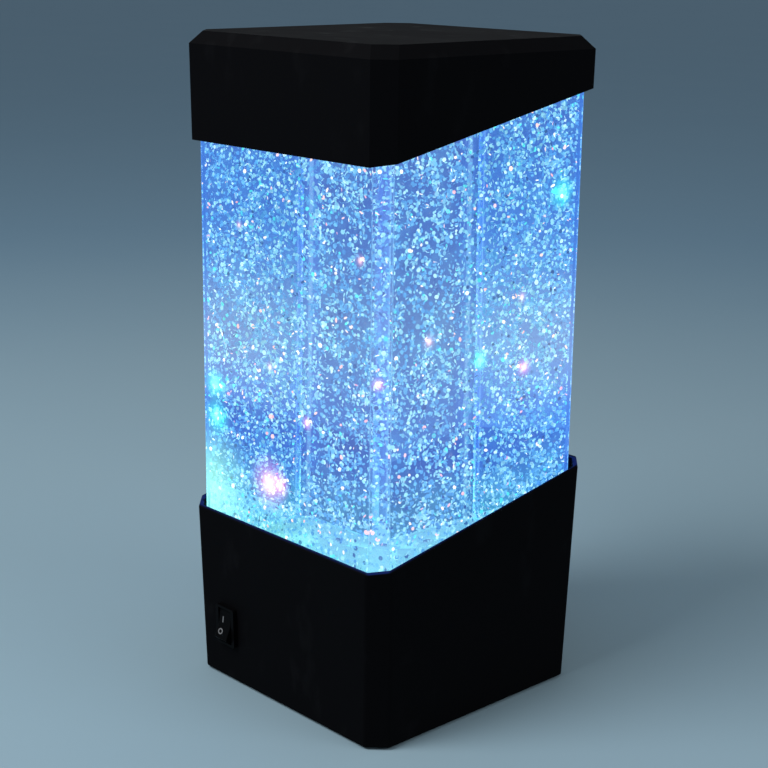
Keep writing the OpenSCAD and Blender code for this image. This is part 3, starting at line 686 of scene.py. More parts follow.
@dataclass(frozen=True)
class LitAcrylic(ClearAcrylic):
    """The tank's outside, which shows the blue light of the water behind it."""

    # The blue tint is painted colour. It stands in for the water's blue light seen through the
    # wall; the acrylic itself is clear.
    tint: Rgb = (0.14, 0.29, 0.43)
    corner_glow: Rgb = (0.02, 0.02, 0.03)
    veil: Stops = (
        (0.05, (0.050, 0.240, 0.250)),
        (0.14, (0.022, 0.072, 0.276)),
        (0.30, (0.026, 0.068, 0.268)),
        (0.44, (0.056, 0.098, 0.240)),
        (0.58, (0.042, 0.084, 0.235)),
        (0.74, (0.028, 0.072, 0.243)),
        (1.00, (0.032, 0.072, 0.236)),
    )
    sway: Blots = Blots(26)
    sway_height: float = 0.08
    drift_glow: Rgb = (0.012, 0.050, 0.055)
    drift: Blots = Blots(11, edges=(0.46, 0.70))
    haze_glow: Rgb = (0.070, 0.055, 0.0)
    haze_rise: Span = (0.30, 0.42)
    haze_fall: Span = (0.46, 0.66)
    haze_mm: Span = (15.0, 75.0)
    near_glow: Rgb = (0.028, 0.028, 0.075)
    near_mm: Span = (55.0, 68.0)
    side_glow: Rgb = (0.0, 0.025, 0.14)
    side_mm: Span = (88.5, 92.5)
    halo: Span = (0.0, 1.0)
    core: Span = (0.05, 0.45)

    def light(self, shader: Shader, corner: Sock) -> Sock:
        """The veil changes up the tank; clouds drift in it and flares light its walls.

        Args:
            shader: The material to build.
            corner: How much a point counts as a flat on a corner.

        Returns:
            The colour of the light.
        """
        x, y = shader.axis("X"), shader.axis("Y")
        height = (shader.axis("Z") - WATER_LOW_MM) / (WATER_HIGH_MM - WATER_LOW_MM)
        sway = self.sway.on(shader).between(-self.sway_height, self.sway_height)
        around = 2 * TANK_HALF_MM - x + y
        haze = height.window(self.haze_rise, self.haze_fall) * around.step(*self.haze_mm)
        near = (x - y).step(*self.near_mm)
        side = (x.size() + y.size()).step(*self.side_mm) * (1 - near)
        layers = [(self.drift.on(shader), self.drift_glow), (haze, self.haze_glow)]
        for flare in FLARES:
            tone, far = FLARE_TONES[flare.glint], shader.distance(flare.at_mm) / flare.reach_mm
            layers += [(1 - far.step(*self.halo), tone.halo), (1 - far.step(*self.core), tone.core)]
        layers += [(near, self.near_glow), (side, self.side_glow), (corner, self.corner_glow)]
        light = shader.ramp(height + sway, self.veil)
        for share, glow in layers:
            light = shader.mix(share, light, glow, "ADD")
        return light


@dataclass(frozen=True)
class ClearWater(Finish):
    """Water, barely uneven in colour.

    The tank's inner faces bend light as acrylic against water does, so the water's own sides
    hardly bend it again.
    """

    colour: Rgb = (1.0, 1.0, 1.0)
    deep: Rgb = (0.96, 0.985, 1.0)
    clouds: Blots = Blots(20)
    index: float = 1.002

    def sockets(self, shader: Shader) -> dict[str, object]:
        """Faint clouds in colour.

        Args:
            shader: The material to build.

        Returns:
            The surface's sockets, by name.
        """
        return {
            "Base Color": shader.mix(self.clouds.on(shader), self.colour, self.deep),
            "Transmission Weight": 1.0,
            "IOR": self.index,
            "Roughness": 0.0,
        }


@dataclass(frozen=True)
class LitFloor(Finish):
    """Milky floor that glows over its ring of LEDs."""

    colour: Rgb = (0.34, 0.40, 0.44)
    filler: Rgb = (0.42, 0.47, 0.50)
    glow: Rgb = (0.26, 0.58, 0.46)
    spot: Rgb = (0.42, 0.98, 0.60)
    ring_mm: float = 27.0
    ring_width_mm: float = 15.0
    strength: float = 1.2
    mottle: Blots = Blots(5, 3)
    mottle_light: Span = (0.2, 1.6)
    depth_mm: float = 0.02
    rough: Span = (0.45, 0.65)

    def sockets(self, shader: Shader) -> dict[str, object]:
        """Brighter over the LED ring, mottled by the milky filler.

        Args:
            shader: The material to build.

        Returns:
            The surface's sockets, by name.
        """
        x, y, mottle = shader.axis("X"), shader.axis("Y"), self.mottle.on(shader)
        out = ((x * x + y * y) ** 0.5 - self.ring_mm) / self.ring_width_mm
        lit = ((1 - (out * out).step(0, 1)) * mottle.between(*self.mottle_light)).clamped()
        return {
            "Base Color": shader.mix(mottle, self.colour, self.filler),
            "Roughness": mottle.between(*self.rough),
            "Emission Color": shader.mix(lit, self.glow, self.spot),
            "Emission Strength": self.strength,
            "Normal": shader.bump(mottle, self.depth_mm),
        }


@dataclass(frozen=True)
class LitPlastic(Finish):
    """Milky or clear plastic in the LEDs' light."""

    glow: Rgb
    colour: Rgb = (0.40, 0.46, 0.48)
    strength: float = 1.2
    clouds: Blots = Blots(4, 3)
    cloud_gain: float = 1.35
    depth_mm: float = 0.02
    rough: Span = (0.3, 0.5)

    def sockets(self, shader: Shader) -> dict[str, object]:
        """Cloudy glow, fine moulding marks.

        Args:
            shader: The material to build.

        Returns:
            The surface's sockets, by name.
        """
        clouds, pale = self.clouds.on(shader), toned(self.glow, self.cloud_gain)
        return {
            "Base Color": self.colour,
            "Roughness": clouds.between(*self.rough),
            "Emission Color": shader.mix(clouds, self.glow, pale),
            "Emission Strength": self.strength,
            "Normal": shader.bump(clouds, self.depth_mm),
        }


@dataclass(frozen=True)
class FlakeFilm(Finish):
    """Metallised film; each flake catches its own share of the light."""

    stops: Stops
    strength: float = 2.0
    colour: Rgb = (0.10, 0.12, 0.14)
    metallic: float = 0.3
    crumple: Blots = Blots(0.7, 1)
    sheen_edges: Span = (0.45, 0.75)
    sheen_share: float = 0.5
    sheen_gain: float = 0.6
    rough: Span = (0.25, 0.55)

    def sockets(self, shader: Shader) -> dict[str, object]:
        """Chance brightness per flake, broken up by a crumpled sheen.

        Args:
            shader: The material to build.

        Returns:
            The surface's sockets, by name.
        """
        crumple, sheen = self.crumple.on(shader), toned(self.stops[-1][1], self.sheen_gain)
        light = shader.ramp(shader.island(), self.stops)
        share = crumple.step(*self.sheen_edges) * self.sheen_share
        return {
            "Base Color": self.colour,
            "Metallic": self.metallic,
            "Roughness": crumple.between(*self.rough),
            "Emission Color": shader.mix(share, light, sheen),
            "Emission Strength": self.strength,
        }


@dataclass(frozen=True)
class MarkPaint(Finish):
    """White pad-printed paint on the rocker."""

    colour: Rgb = (0.14, 0.14, 0.145)
    worn: Rgb = (0.08, 0.08, 0.085)
    wear: Blots = Blots(0.6, 4, edges=(0.5, 0.8))
    wear_share: float = 0.6
    depth_mm: float = 0.01
    rough: Span = (0.4, 0.6)

    def sockets(self, shader: Shader) -> dict[str, object]:
        """Thin spots where the print is worn.

        Args:
            shader: The material to build.

        Returns:
            The surface's sockets, by name.
        """
        wear = self.wear.on(shader)
        return {
            "Base Color": shader.mix(wear * self.wear_share, self.colour, self.worn),
            "Roughness": wear.between(*self.rough),
            "Normal": shader.bump(wear, self.depth_mm),
        }


@dataclass(frozen=True)
class PaleFloor(Finish):
    """Pale studio floor, plain but for painted shade that deepens further off."""

    colour: Rgb = (0.25, 0.355, 0.415)
    # far is painted shade: darker and bluer further off, standing in for light that weakens with
    # distance.
    far: Rgb = (0.17, 0.285, 0.385)
    far_shade_mm: Span = (250.0, 1100.0)
    clouds: Blots = Blots(180, 3)
    cloud_share: float = 0.1
    rough: Span = (0.75, 0.85)
    gloss: float = 0.15

    def sockets(self, shader: Shader) -> dict[str, object]:
        """Painted shade that deepens further off, barely clouded.

        Args:
            shader: The material to build.

        Returns:
            The surface's sockets, by name.
        """
        # off is the share of painted shade, growing with distance from the middle.
        clouds, off = self.clouds.on(shader), shader.distance((0, 0, 0)).step(*self.far_shade_mm)
        share = (off + self.cloud_share * clouds).clamped()
        return {
            "Base Color": shader.mix(share, self.colour, self.far),
            "Roughness": clouds.between(*self.rough),
            "Specular IOR Level": self.gloss,
        }


GLINT_FILMS: dict[Glint, FlakeFilm] = {
    Glint.PALE: FlakeFilm((
        (0.0, (0.155, 0.35, 0.36)),
        (0.5, (0.31, 0.60, 0.52)),
        (0.85, (0.50, 0.80, 0.66)),
        (1.0, (1.0, 1.0, 0.8)),
    )),
    Glint.BLUE: FlakeFilm((
        (0.0, (0.03, 0.16, 0.30)),
        (0.6, (0.10, 0.31, 0.44)),
        (1.0, (0.20, 0.48, 0.55)),
    )),
    Glint.GREEN: FlakeFilm(((0.0, (0.05, 0.55, 0.40)), (1.0, (0.15, 0.95, 0.60)))),
    Glint.WARM: FlakeFilm((
        (0.0, (0.70, 0.16, 0.14)),
        (0.5, (1.0, 0.42, 0.22)),
        (1.0, (1.0, 0.72, 0.46)),
    ), strength=3.6),
    Glint.HOT: FlakeFilm(((0.0, (1.0, 0.66, 0.66)), (1.0, (1.0, 0.90, 0.80))), strength=3.6),
    Glint.DARK: FlakeFilm(((0.0, (0.004, 0.01, 0.05)), (1.0, (0.01, 0.04, 0.12)))),
}

FINISHES: dict[str, Finish] = {
    "black_shell": RimLitPlastic(
        colour=(0.0022, 0.0022, 0.0028), rubbed=(0.0042, 0.0042, 0.005), rough=0.66, gloss=0.022
    ),
    "black_cover": MouldedPlastic(
        colour=(0.016, 0.016, 0.017), rubbed=(0.028, 0.028, 0.029), rough=0.6, gloss=0.3
    ),
    "switch_black": MouldedPlastic(
        colour=(0.0016, 0.0016, 0.002), rubbed=(0.0032, 0.0032, 0.0036), rough=0.42, gloss=0.03,
        grain=Blots(0.3, 3), depth_mm=0.01,
    ),
    "feet_rubber": PorousFoam((0.03, 0.03, 0.032), pore_mm=0.35, depth_mm=0.04, rough=0.85),
    "foam": PorousFoam((0.06, 0.06, 0.065)),
    "cell_jacket": CellSleeve(),
    "plated_steel": PlatedMetal((0.60, 0.60, 0.61)),
    "brass": PlatedMetal((0.72, 0.55, 0.26), rough=0.3, stain=(0.35, 0.22, 0.08)),
    "magnet": PlatedMetal((0.45, 0.45, 0.47), rough=0.22),
    "white_plastic": MouldedPlastic(
        colour=(0.80, 0.80, 0.79), rubbed=(0.66, 0.66, 0.64), rough=0.5, gloss=0.4,
        grain=Blots(0.5, 3), depth_mm=0.02,
    ),
    "board": SolderBoard(),
    "board_black": MouldedPlastic(
        colour=(0.03, 0.03, 0.033), rubbed=(0.05, 0.05, 0.052), rough=0.5, gloss=0.3
    ),
    "led_epoxy": LitPlastic((0.55, 0.85, 1.0), colour=(0.75, 0.90, 1.0), strength=2.0),
    "lead_red": LeadSleeve((0.55, 0.04, 0.03)),
    "lead_black": LeadSleeve((0.02, 0.02, 0.022)),
    "clear_tank": LitAcrylic(),
    "clear_lid": ClearAcrylic(),
    "tank_inside": ClearAcrylic(index=ACRYLIC_INDEX / WATER_INDEX),
    "water_top": ClearAcrylic(tint=(0.80, 0.90, 1.0), index=WATER_INDEX),
    "milky_floor": LitFloor(),
    "water": ClearWater(),
    "milky_stirrer": LitPlastic((0.24, 0.50, 0.40), strength=1.0),
    "mark_paint": MarkPaint(),
    "pale_floor": PaleFloor(),
    **{f"glitter_{glint.value}": film for glint, film in GLINT_FILMS.items()},
}


class Palette:
    """Makes each finish's material once and hands it out by name."""

    def __init__(self, finishes: Mapping[str, Finish]) -> None:
        """Keep the finishes; no material is made yet."""
        self.finishes = finishes
        self.made: dict[str, bpy.types.Material] = {}

    def __getitem__(self, name: str) -> bpy.types.Material:
        """A finish's material, made at its first use.

        Args:
            name: The finish's name.

        Returns:
            The material.
        """
        if name not in self.made:
            self.made[name] = self.finishes[name].material(name)
        return self.made[name]


# Meshes


def millimetres(point: Vector) -> Vector:
    """A point in millimetres instead of metres."""
    return point / MM


def placed(name: str, data: bpy.types.ID) -> bpy.types.Object:
    """Put a mesh, a light or a camera into the scene.

    Args:
        name: The object's name.
        data: What it holds.

    Returns:
        The new object.
    """
    thing = bpy.data.objects.new(name, data)
    bpy.context.scene.collection.objects.link(thing)
    return thing


def shown(name: str, bm: bmesh.types.BMesh, crease_deg: float = 35.0) -> bpy.types.Object:
    """Turn a bmesh into an object of the scene.

    Args:
        name: The piece's name.
        bm: Its mesh, in metres, which is freed.
        crease_deg: Edges sharper than this stay sharp.

    Returns:
        The new object.
    """
    bmesh.ops.recalc_face_normals(bm, faces=bm.faces)
    mesh = bpy.data.meshes.new(name)
    bm.to_mesh(mesh)
    bm.free()
    mesh.polygons.foreach_set("use_smooth", [True] * len(mesh.polygons))
    mesh.set_sharp_from_angle(angle=math.radians(crease_deg))
    return placed(name, mesh)


def evened(piece: bpy.types.Object) -> bpy.types.Object:
    """Let a piece's large faces set its normals, so that its flats stay flat."""
    piece.modifiers.new("even_normals", "WEIGHTED_NORMAL").keep_sharp = True
    return piece


def welded(node: str) -> bmesh.types.BMesh:
    """Copy a CAD node's mesh and join its corners.

    Args:
        node: The node's name.

    Returns:
        The copy, in metres.
    """
    bm = bmesh.new()
    bm.from_mesh(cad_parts[node].data)
    bmesh.ops.remove_doubles(bm, verts=bm.verts, dist=WELD_M)
    return bm


def flattened(node: str) -> bmesh.types.BMesh:
    """Copy a CAD node's mesh, join its corners and make its flat faces whole.

    Args:
        node: The node's name.

    Returns:
        The copy, in metres.
    """
    bm, flat = welded(node), math.radians(FLAT_DEG)
    bmesh.ops.dissolve_limit(bm, angle_limit=flat, verts=bm.verts, edges=bm.edges)
    bmesh.ops.recalc_face_normals(bm, faces=bm.faces)
    return bm


def round_edges(
    bm: bmesh.types.BMesh,
    width_mm: float,
    chosen: Callable[[Vector, Vector], bool] = lambda a, b: True,
    fold_deg: float = 20.0,
    segments: int = 3,
) -> None:
    """Round a mesh's outward edges.

    Args:
        bm: The mesh, in metres.
        width_mm: How far each rounding reaches.
        chosen: Says from an edge's two ends, in millimetres, whether it is rounded.
        fold_deg: Flatter edges than this stay as they are.
        segments: Faces across a rounding.
    """
    edges = [
        edge for edge in bm.edges
        if len(edge.link_faces) == 2 and edge.is_convex
        and edge.calc_face_angle() > math.radians(fold_deg)
        and chosen(*(millimetres(vert.co) for vert in edge.verts))
    ]
    bmesh.ops.bevel(
        bm, geom=edges, offset=width_mm * MM, offset_type="OFFSET",
        segments=segments, profile=0.5, affect="EDGES", clamp_overlap=True,
    )


def cut_square(half_mm: float, leg_mm: float) -> Ring:
    """The outline of a square with a 45 degree flat on each corner.

    Args:
        half_mm: Half its width.
        leg_mm: Leg of each flat.

    Returns:
        Its points in order, anticlockwise.
    """
    near = half_mm - leg_mm
    corner = ((half_mm, near), (near, half_mm))
    turns = ((1, 0), (0, 1), (-1, 0), (0, -1))
    return [(x * cos - y * sin, x * sin + y * cos) for cos, sin in turns for x, y in corner]


def inner_leg(leg_mm: float, inset_mm: float) -> float:
    """Leg of a corner flat after the outline has moved in by inset_mm."""
    return leg_mm - inset_mm * (2 - math.sqrt(2))


def level(ring: Ring, z_mm: float, x_mm: float = 0.0, y_mm: float = 0.0) -> list[Point]:
    """An outline's points in metres, at a height and moved sideways."""
    return [((x + x_mm) * MM, (y + y_mm) * MM, z_mm * MM) for x, y in ring]


def loft(
    bm: bmesh.types.BMesh, rows: Sequence[Sequence[Point | Vector]], closed: bool = False
) -> None:
    """Add a skin through rows of points to a mesh.

    Args:
        bm: The mesh, in metres.
        rows: The rows, all with as many points; each row goes back to its first point.
        closed: Whether the last row goes back to the first; otherwise flat ends close it.
    """
    loops = [[bm.verts.new(point) for point in row] for row in rows]
    uppers = loops[1:] + loops[:1] if closed else loops[1:]
    for lower, upper in zip(loops, uppers):
        for k in range(len(lower)):
            after = (k + 1) % len(lower)
            bm.faces.new((lower[k], lower[after], upper[after], upper[k]))
    if not closed:
        bm.faces.new(list(reversed(loops[0])))
        bm.faces.new(loops[-1])


def islands(node: str) -> list[tuple[Vector, Vector]]:
    """The boxes of a CAD node's separate solids.

    Args:
        node: The node's name.

    Returns:
        The lowest and highest corner of each, in millimetres.
    """
    bm = welded(node)
    left, boxes = set(bm.verts), []
    while left:
        reach, group = [left.pop()], []
        while reach:
            vert = reach.pop()
            group.append(millimetres(vert.co))
            for edge in vert.link_edges:
                other = edge.other_vert(vert)
                if other in left:
                    left.remove(other)
                    reach.append(other)
        boxes.append(tuple(Vector(map(end, zip(*group))) for end in (min, max)))
    bm.free()
    return sorted(boxes, key=lambda box: tuple(round(value, 3) for value in box[0]))


@dataclass(frozen=True)
class Skin:
    """The leaning, corner-cut outside of a moulded shell."""

    half_mm: float
    at_mm: float
    lean_deg: float
    leg_mm: float

    def depth(self, point: Vector) -> float:
        """How far a point lies inside the outside.

        Args:
            point: The point, in millimetres.

        Returns:
            The depth in millimetres, below 0 outside.
        """
        half = self.half_mm + (point.z - self.at_mm) * math.tan(math.radians(self.lean_deg))
        cut = (2 * half - self.leg_mm - abs(point.x) - abs(point.y)) / math.sqrt(2)
        return min(half - abs(point.x), half - abs(point.y), cut)


# Sub-assemblies


@dataclass
class SubAssembly:
    """A group of pieces that are built and dressed together.

    finishes names the finish of each CAD node that stays in view.
    """

    finishes: ClassVar[Mapping[str, str]] = {}

    palette: Palette

    def build(self) -> None:
        """Make the new pieces, then dress the CAD nodes that stay in view."""
        self.make()
        for node, finish in self.finishes.items():
            self.dress(node, finish)

    def make(self) -> None:
        """Make the new pieces; a group of CAD nodes alone has none."""

    def keep(
        self, piece: bpy.types.Object, body: str, slot: str, *nodes: str, finish: str | None = None
    ) -> bpy.types.Object:
        """Finish a new piece and fasten it to the frame.

        Args:
            piece: The piece, in its place.
            body: The CAD body it rides on.
            slot: The name of its finish in the palette, used where finish isn't given.
            nodes: CAD nodes it stands for.
            finish: Its finish in the palette, where that isn't named as the slot is.

        Returns:
            The same piece.
        """
        piece.data.materials.append(self.palette[finish or slot])
        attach(piece, body)
        if nodes:
            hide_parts(*nodes)
        LOG.info("piece %s on %s", piece.name, body)
        return piece

    def dress(self, node: str, finish: str) -> None:
        """Give a CAD node that stays in view its finish.

        Args:
            node: The node's name.
            finish: The finish's name in the palette.
        """
        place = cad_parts[node].material_slots[0]
        place.link = "OBJECT"
        place.material = self.palette[finish]
        LOG.info("node %s in %s", node, finish)

    def part(
        self, piece: bpy.types.Object, finish: str, chosen: Callable[[bpy.types.MeshPolygon], bool]
    ) -> None:
        """Give some faces of a new piece another finish.

        Args:
            piece: The piece, with its first finish.
            finish: The other finish's name in the palette.
            chosen: Says which faces get it.
        """
        piece.data.materials.append(self.palette[finish])
        for face in piece.data.polygons:
            if chosen(face):
                face.material_index = 1

    def rounded(
        self, node: str, name: str, body: str, slot: str, width_mm: float, **choice: object
    ) -> bpy.types.Object:
        """Put a copy with rounded edges in a CAD node's stead.

        Args:
            node: The node's name.
            name: The copy's name.
            body: The CAD body it rides on.
            slot: The name of its finish in the palette.
            width_mm: How far each rounding reaches.
            choice: Further arguments of round_edges.

        Returns:
            The new piece.
        """
        bm = flattened(node)
        round_edges(bm, width_mm, **choice)
        return self.keep(evened(shown(name, bm)), body, slot, node)

    def pad(self, node: str, name: str, body: str, bm: bmesh.types.BMesh) -> None:
        """Put a soft foam form in a CAD node's stead."""
        piece = self.keep(shown(name, bm, FOAM_CREASE_DEG), body, "foam", node)


@dataclass
class Studio:
    """Camera, pale floor and soft lights."""

    palette: Palette
    eye_mm: Point = (420.482, -394.52, 267.249)
    right: Point = (0.68019, 0.73294, 0.01186)
    up: Point = (-0.1997, 0.16971, 0.96505)
    back: Point = (0.70531, -0.65879, 0.2618)
    lens_mm: float = 77.707
    sensor_mm: float = 36.0
    clip_m: Span = (0.01, 100.0)
    floor_radius_m: float = 14.0
    floor_rings: int = 12
    floor_spokes: int = 48
    floor_growth: int = 3
    sky: Rgb = (0.86, 0.94, 1.0)
    sky_strength: float = 0.36
    aim_m: Point = (0.0, 0.0, 0.10)
    key_at_m: Point = (-0.20, -0.77, 0.95)
    key_size_m: float = 0.7
    key_power_w: float = 12.0
    fill_at_m: Point = (1.1, 0.35, 0.8)
    fill_size_m: float = 0.8
    fill_power_w: float = 4.0

    def build(self) -> None:
        """Set the camera first, then the world, the lights and the floor."""
        self._camera()
        self._world()
        self._light("key_light", self.key_at_m, self.key_size_m, self.key_power_w)
        self._light("fill_light", self.fill_at_m, self.fill_size_m, self.fill_power_w)
        self._floor()

    def _camera(self) -> None:
        """Camera at the photograph's viewing angle."""
        data = bpy.data.cameras.new("camera")
        data.lens, data.sensor_width = self.lens_mm, self.sensor_mm
        data.clip_start, data.clip_end = self.clip_m
        camera = placed("camera", data)
        axes = Matrix((self.right, self.up, self.back)).transposed()
        camera.matrix_world = Matrix.Translation(Vector(self.eye_mm) * MM) @ axes.to_4x4()
        bpy.context.scene.camera = camera
        bpy.context.scene.view_settings.view_transform = "Standard"

    def _world(self) -> None:
        """An even, slightly cool sky."""
        world = bpy.data.worlds.new("soft_sky")
        world.use_nodes = True
        background = world.node_tree.nodes["Background"]
        background.inputs["Color"].default_value = (*self.sky, 1.0)
        background.inputs["Strength"].default_value = self.sky_strength
        bpy.context.scene.world = world

    def _light(self, name: str, at_m: Point, size_m: float, power_w: float) -> None:
        """A round soft light.

        Args:
            name: The light's name.
            at_m: Its place.
            size_m: Its width.
            power_w: Its power.
        """
        data = bpy.data.lights.new(name, "AREA")
        data.shape, data.size, data.energy = "DISK", size_m, power_w
        light, beam = placed(name, data), Vector(self.aim_m) - Vector(at_m)
        light.location = at_m
        light.rotation_euler = beam.to_track_quat("-Z", "Y").to_euler()

    def _floor(self) -> None:
        """A wide round floor whose rings grow outwards."""
        bm = bmesh.new()
        middle = bm.verts.new((0, 0, 0))
        turns = [2 * math.pi * j / self.floor_spokes for j in range(self.floor_spokes)]
        inner: list[bmesh.types.BMVert] = []
        for k in range(1, self.floor_rings + 1):
            reach = self.floor_radius_m * (k / self.floor_rings) ** self.floor_growth
            outer = [bm.verts.new((reach * math.cos(a), reach * math.sin(a), 0)) for a in turns]
            for j in range(self.floor_spokes):
                after = (j + 1) % self.floor_spokes
                if inner:
                    bm.faces.new((inner[j], outer[j], outer[after], inner[after]))
                else:
                    bm.faces.new((middle, outer[j], outer[after]))
            inner = outer
        floor = shown("studio_floor", bm)
        floor.data.materials.append(self.palette["pale_floor"])


@dataclass
class BaseUnit(SubAssembly):
    """Black base with its bottom cover, screws and feet."""

    finishes: ClassVar[Mapping[str, str]] = {
        "bottom_cover": "black_cover",
        "cover_screws": "plated_steel",
    }

    skin: Skin = Skin(half_mm=50.0, at_mm=0.0, lean_deg=1.4, leg_mm=6.1)
    skin_mm: float = 1.95
    edge_mm: float = 0.75
    hole_low_mm: Point = (-37.0, -60.0, 12.5)
    hole_high_mm: Point = (-22.5, -40.0, 32.0)
    foot_edge_mm: float = 0.35

    def make(self) -> None:
        """Round the housing's outer edges and the feet."""
        self.rounded(
            "base_housing", "base_shell", "lamp", "black_shell", self.edge_mm, chosen=self._outer
        )
        self.rounded("rubber_feet", "soft_feet", "lamp", "feet_rubber", self.foot_edge_mm)

    def _outer(self, a: Vector, b: Vector) -> bool:
        """Whether an edge lies in the outer wall, clear of the switch's hole.

        Args:
            a: One end of the edge, in millimetres.
            b: Its other end.

        Returns:
            True where the edge is to be rounded.
        """
        at_hole = all(
            low <= value <= high
            for end in (a, b)
            for low, value, high in zip(self.hole_low_mm, end, self.hole_high_mm)
        )
        return max(map(self.skin.depth, (a, b))) <= self.skin_mm and not at_hole


@dataclass
class RockerSwitch(SubAssembly):
    """Rocker switch with its bezel and its two painted marks."""

    finishes: ClassVar[Mapping[str, str]] = {"switch_terminals": "brass"}

    edge_mm: float = 0.28
    mark_x_mm: float = -30.7
    ring_z_mm: float = 20.1
    ring_mm: Span = (0.62, 1.02)
    ring_wide: float = 1.25
    ring_steps: int = 36
    bar_z_mm: float = 24.4
    bar_half_width_mm: float = 0.27
    bar_half_height_mm: float = 1.15
    bar_steps: int = 6
    raised_mm: float = 0.05
    sunk_mm: float = 0.06
    cast_from_mm: float = -80.0

    def make(self) -> None:
        """Round bezel and rocker, then print the marks on the rocker's face."""
        self.rounded("switch_housing", "switch_bezel", "lamp", "switch_black", self.edge_mm)
        rocker = self.rounded(
            "switch_rocker", "switch_paddle", "switch_rocker", "switch_black", self.edge_mm
        )
        face = BVHTree.FromPolygons(
            [tuple(vert.co) for vert in rocker.data.vertices],
            [tuple(polygon.vertices) for polygon in rocker.data.polygons],
        )
        marks = shown("switch_marks", self._marks(face))
        self.keep(marks, "switch_rocker", "white_plastic", finish="mark_paint")

    def _row(self, face: BVHTree, places_mm: Sequence[Span]) -> list[Vector]:
        """Four points round a thin strip that lies on the rocker's face.

        Args:
            face: The rocker's faces.
            places_mm: The strip's two edges, as places across and up the rocker.

        Returns:
            The points just outside the face and, back again, those just inside, in metres.
        """
        starts = (Vector((x, self.cast_from_mm, z)) * MM for x, z in places_mm)
        first, last = (face.ray_cast(start, Vector((0, 1, 0)))[0] for start in starts)
        out, sunk = (Vector((0, depth * MM, 0)) for depth in (-self.raised_mm, self.sunk_mm))
        return [first + out, last + out, last + sunk, first + sunk]

    def _marks(self, face: BVHTree) -> bmesh.types.BMesh:
        """The ring for off and the bar for on.

        Args:
            face: The rocker's faces.

        Returns:
            Both marks' mesh, in metres.
        """
        bm, ring, bar = bmesh.new(), [], []
        for k in range(self.ring_steps):
            turn = 2 * math.pi * k / self.ring_steps
            across, up = self.ring_wide * math.cos(turn), math.sin(turn)
            places = [(self.mark_x_mm + r * across, self.ring_z_mm + r * up) for r in self.ring_mm]
            ring.append(self._row(face, places))
        for k in range(self.bar_steps + 1):
            z = self.bar_z_mm + self.bar_half_height_mm * (2 * k / self.bar_steps - 1)
            places = [(self.mark_x_mm + side * self.bar_half_width_mm, z) for side in (-1, 1)]
            bar.append(self._row(face, places))
        loft(bm, ring, closed=True)
        loft(bm, bar)
        return bm


@dataclass
class FoamPads(SubAssembly):
    """Foam pads that are squeezed flat and bulge at their sides."""

    node: str = "door_pad"
    name: str = "door_foam"
    body: str = "battery_door"
    pinch_mm: float = 0.25
    square: float = 0.18
    side_round: float = 0.6
    steps: int = 48
    levels: int = 6

    def make(self) -> None:
        """Loft each pad of the node inside its box."""
        bm = bmesh.new()
        for low, high in islands(self.node):
            middle, half = (low + high) / 2, (high - low) / 2
            rows = []
            for k in range(self.levels + 1):
                up = 2 * k / self.levels - 1
                inset = self.side_round * half.z * (1 - math.sqrt(max(0.0, 1 - up * up)))
                ring = self._outline(half.x - inset, half.y - inset)
                rows.append(level(ring, middle.z + up * half.z, middle.x, middle.y))
            loft(bm, rows)
        self.pad(self.node, self.name, self.body, bm)

    def _outline(self, half_x: float, half_y: float) -> Ring:
        """A pad's outline, pulled in a little between its corners.

        Args:
            half_x: Half its width, in millimetres.
            half_y: Half its depth, in millimetres.

        Returns:
            Its points in order, anticlockwise.
        """
        pulled: Ring = []
        for k in range(self.steps):
            turn = 2 * math.pi * (k + 0.5) / self.steps
            ways = (math.cos(turn), math.sin(turn))
            u, v = (math.copysign(abs(way) ** self.square, way) for way in ways)
            waist_x, waist_y = self.pinch_mm * (1 - v * v), self.pinch_mm * (1 - u * u)
            pulled.append((u * (half_x - waist_x), v * (half_y - waist_y)))
        return pulled


@dataclass
class BatteryBay(SubAssembly):
    """Battery door with its pad, cells, springs and contacts."""

    finishes: ClassVar[Mapping[str, str]] = {
        "battery_cells": "cell_jacket",
        "battery_springs": "plated_steel",
        "battery_contacts": "plated_steel",
    }

    edge_mm: float = 0.3

    def make(self) -> None:
        """Round the door and pad it."""
        self.rounded("battery_door", "bay_door", "battery_door", "black_cover", self.edge_mm)
        FoamPads(self.palette).build()


@dataclass
class MotorDrive(SubAssembly):
    """Motor in its cradle with the magnet hub."""

    finishes: ClassVar[Mapping[str, str]] = {
        "motor_cradle": "white_plastic",
        "cradle_screws": "plated_steel",
        "motor_can": "plated_steel",
        "motor_bell": "white_plastic",
        "motor_shaft": "plated_steel",
        "drive_hub": "white_plastic",
        "drive_magnets": "magnet",
    }


@dataclass
class LightBoard(SubAssembly):
    """Light board with its LEDs, parts and leads."""

    finishes: ClassVar[Mapping[str, str]] = {
        "led_board": "board",
        "leds": "led_epoxy",
        "board_parts": "board_black",
        "board_screws": "plated_steel",
        "power_leads": "lead_red",
        "return_leads": "lead_black",
    }


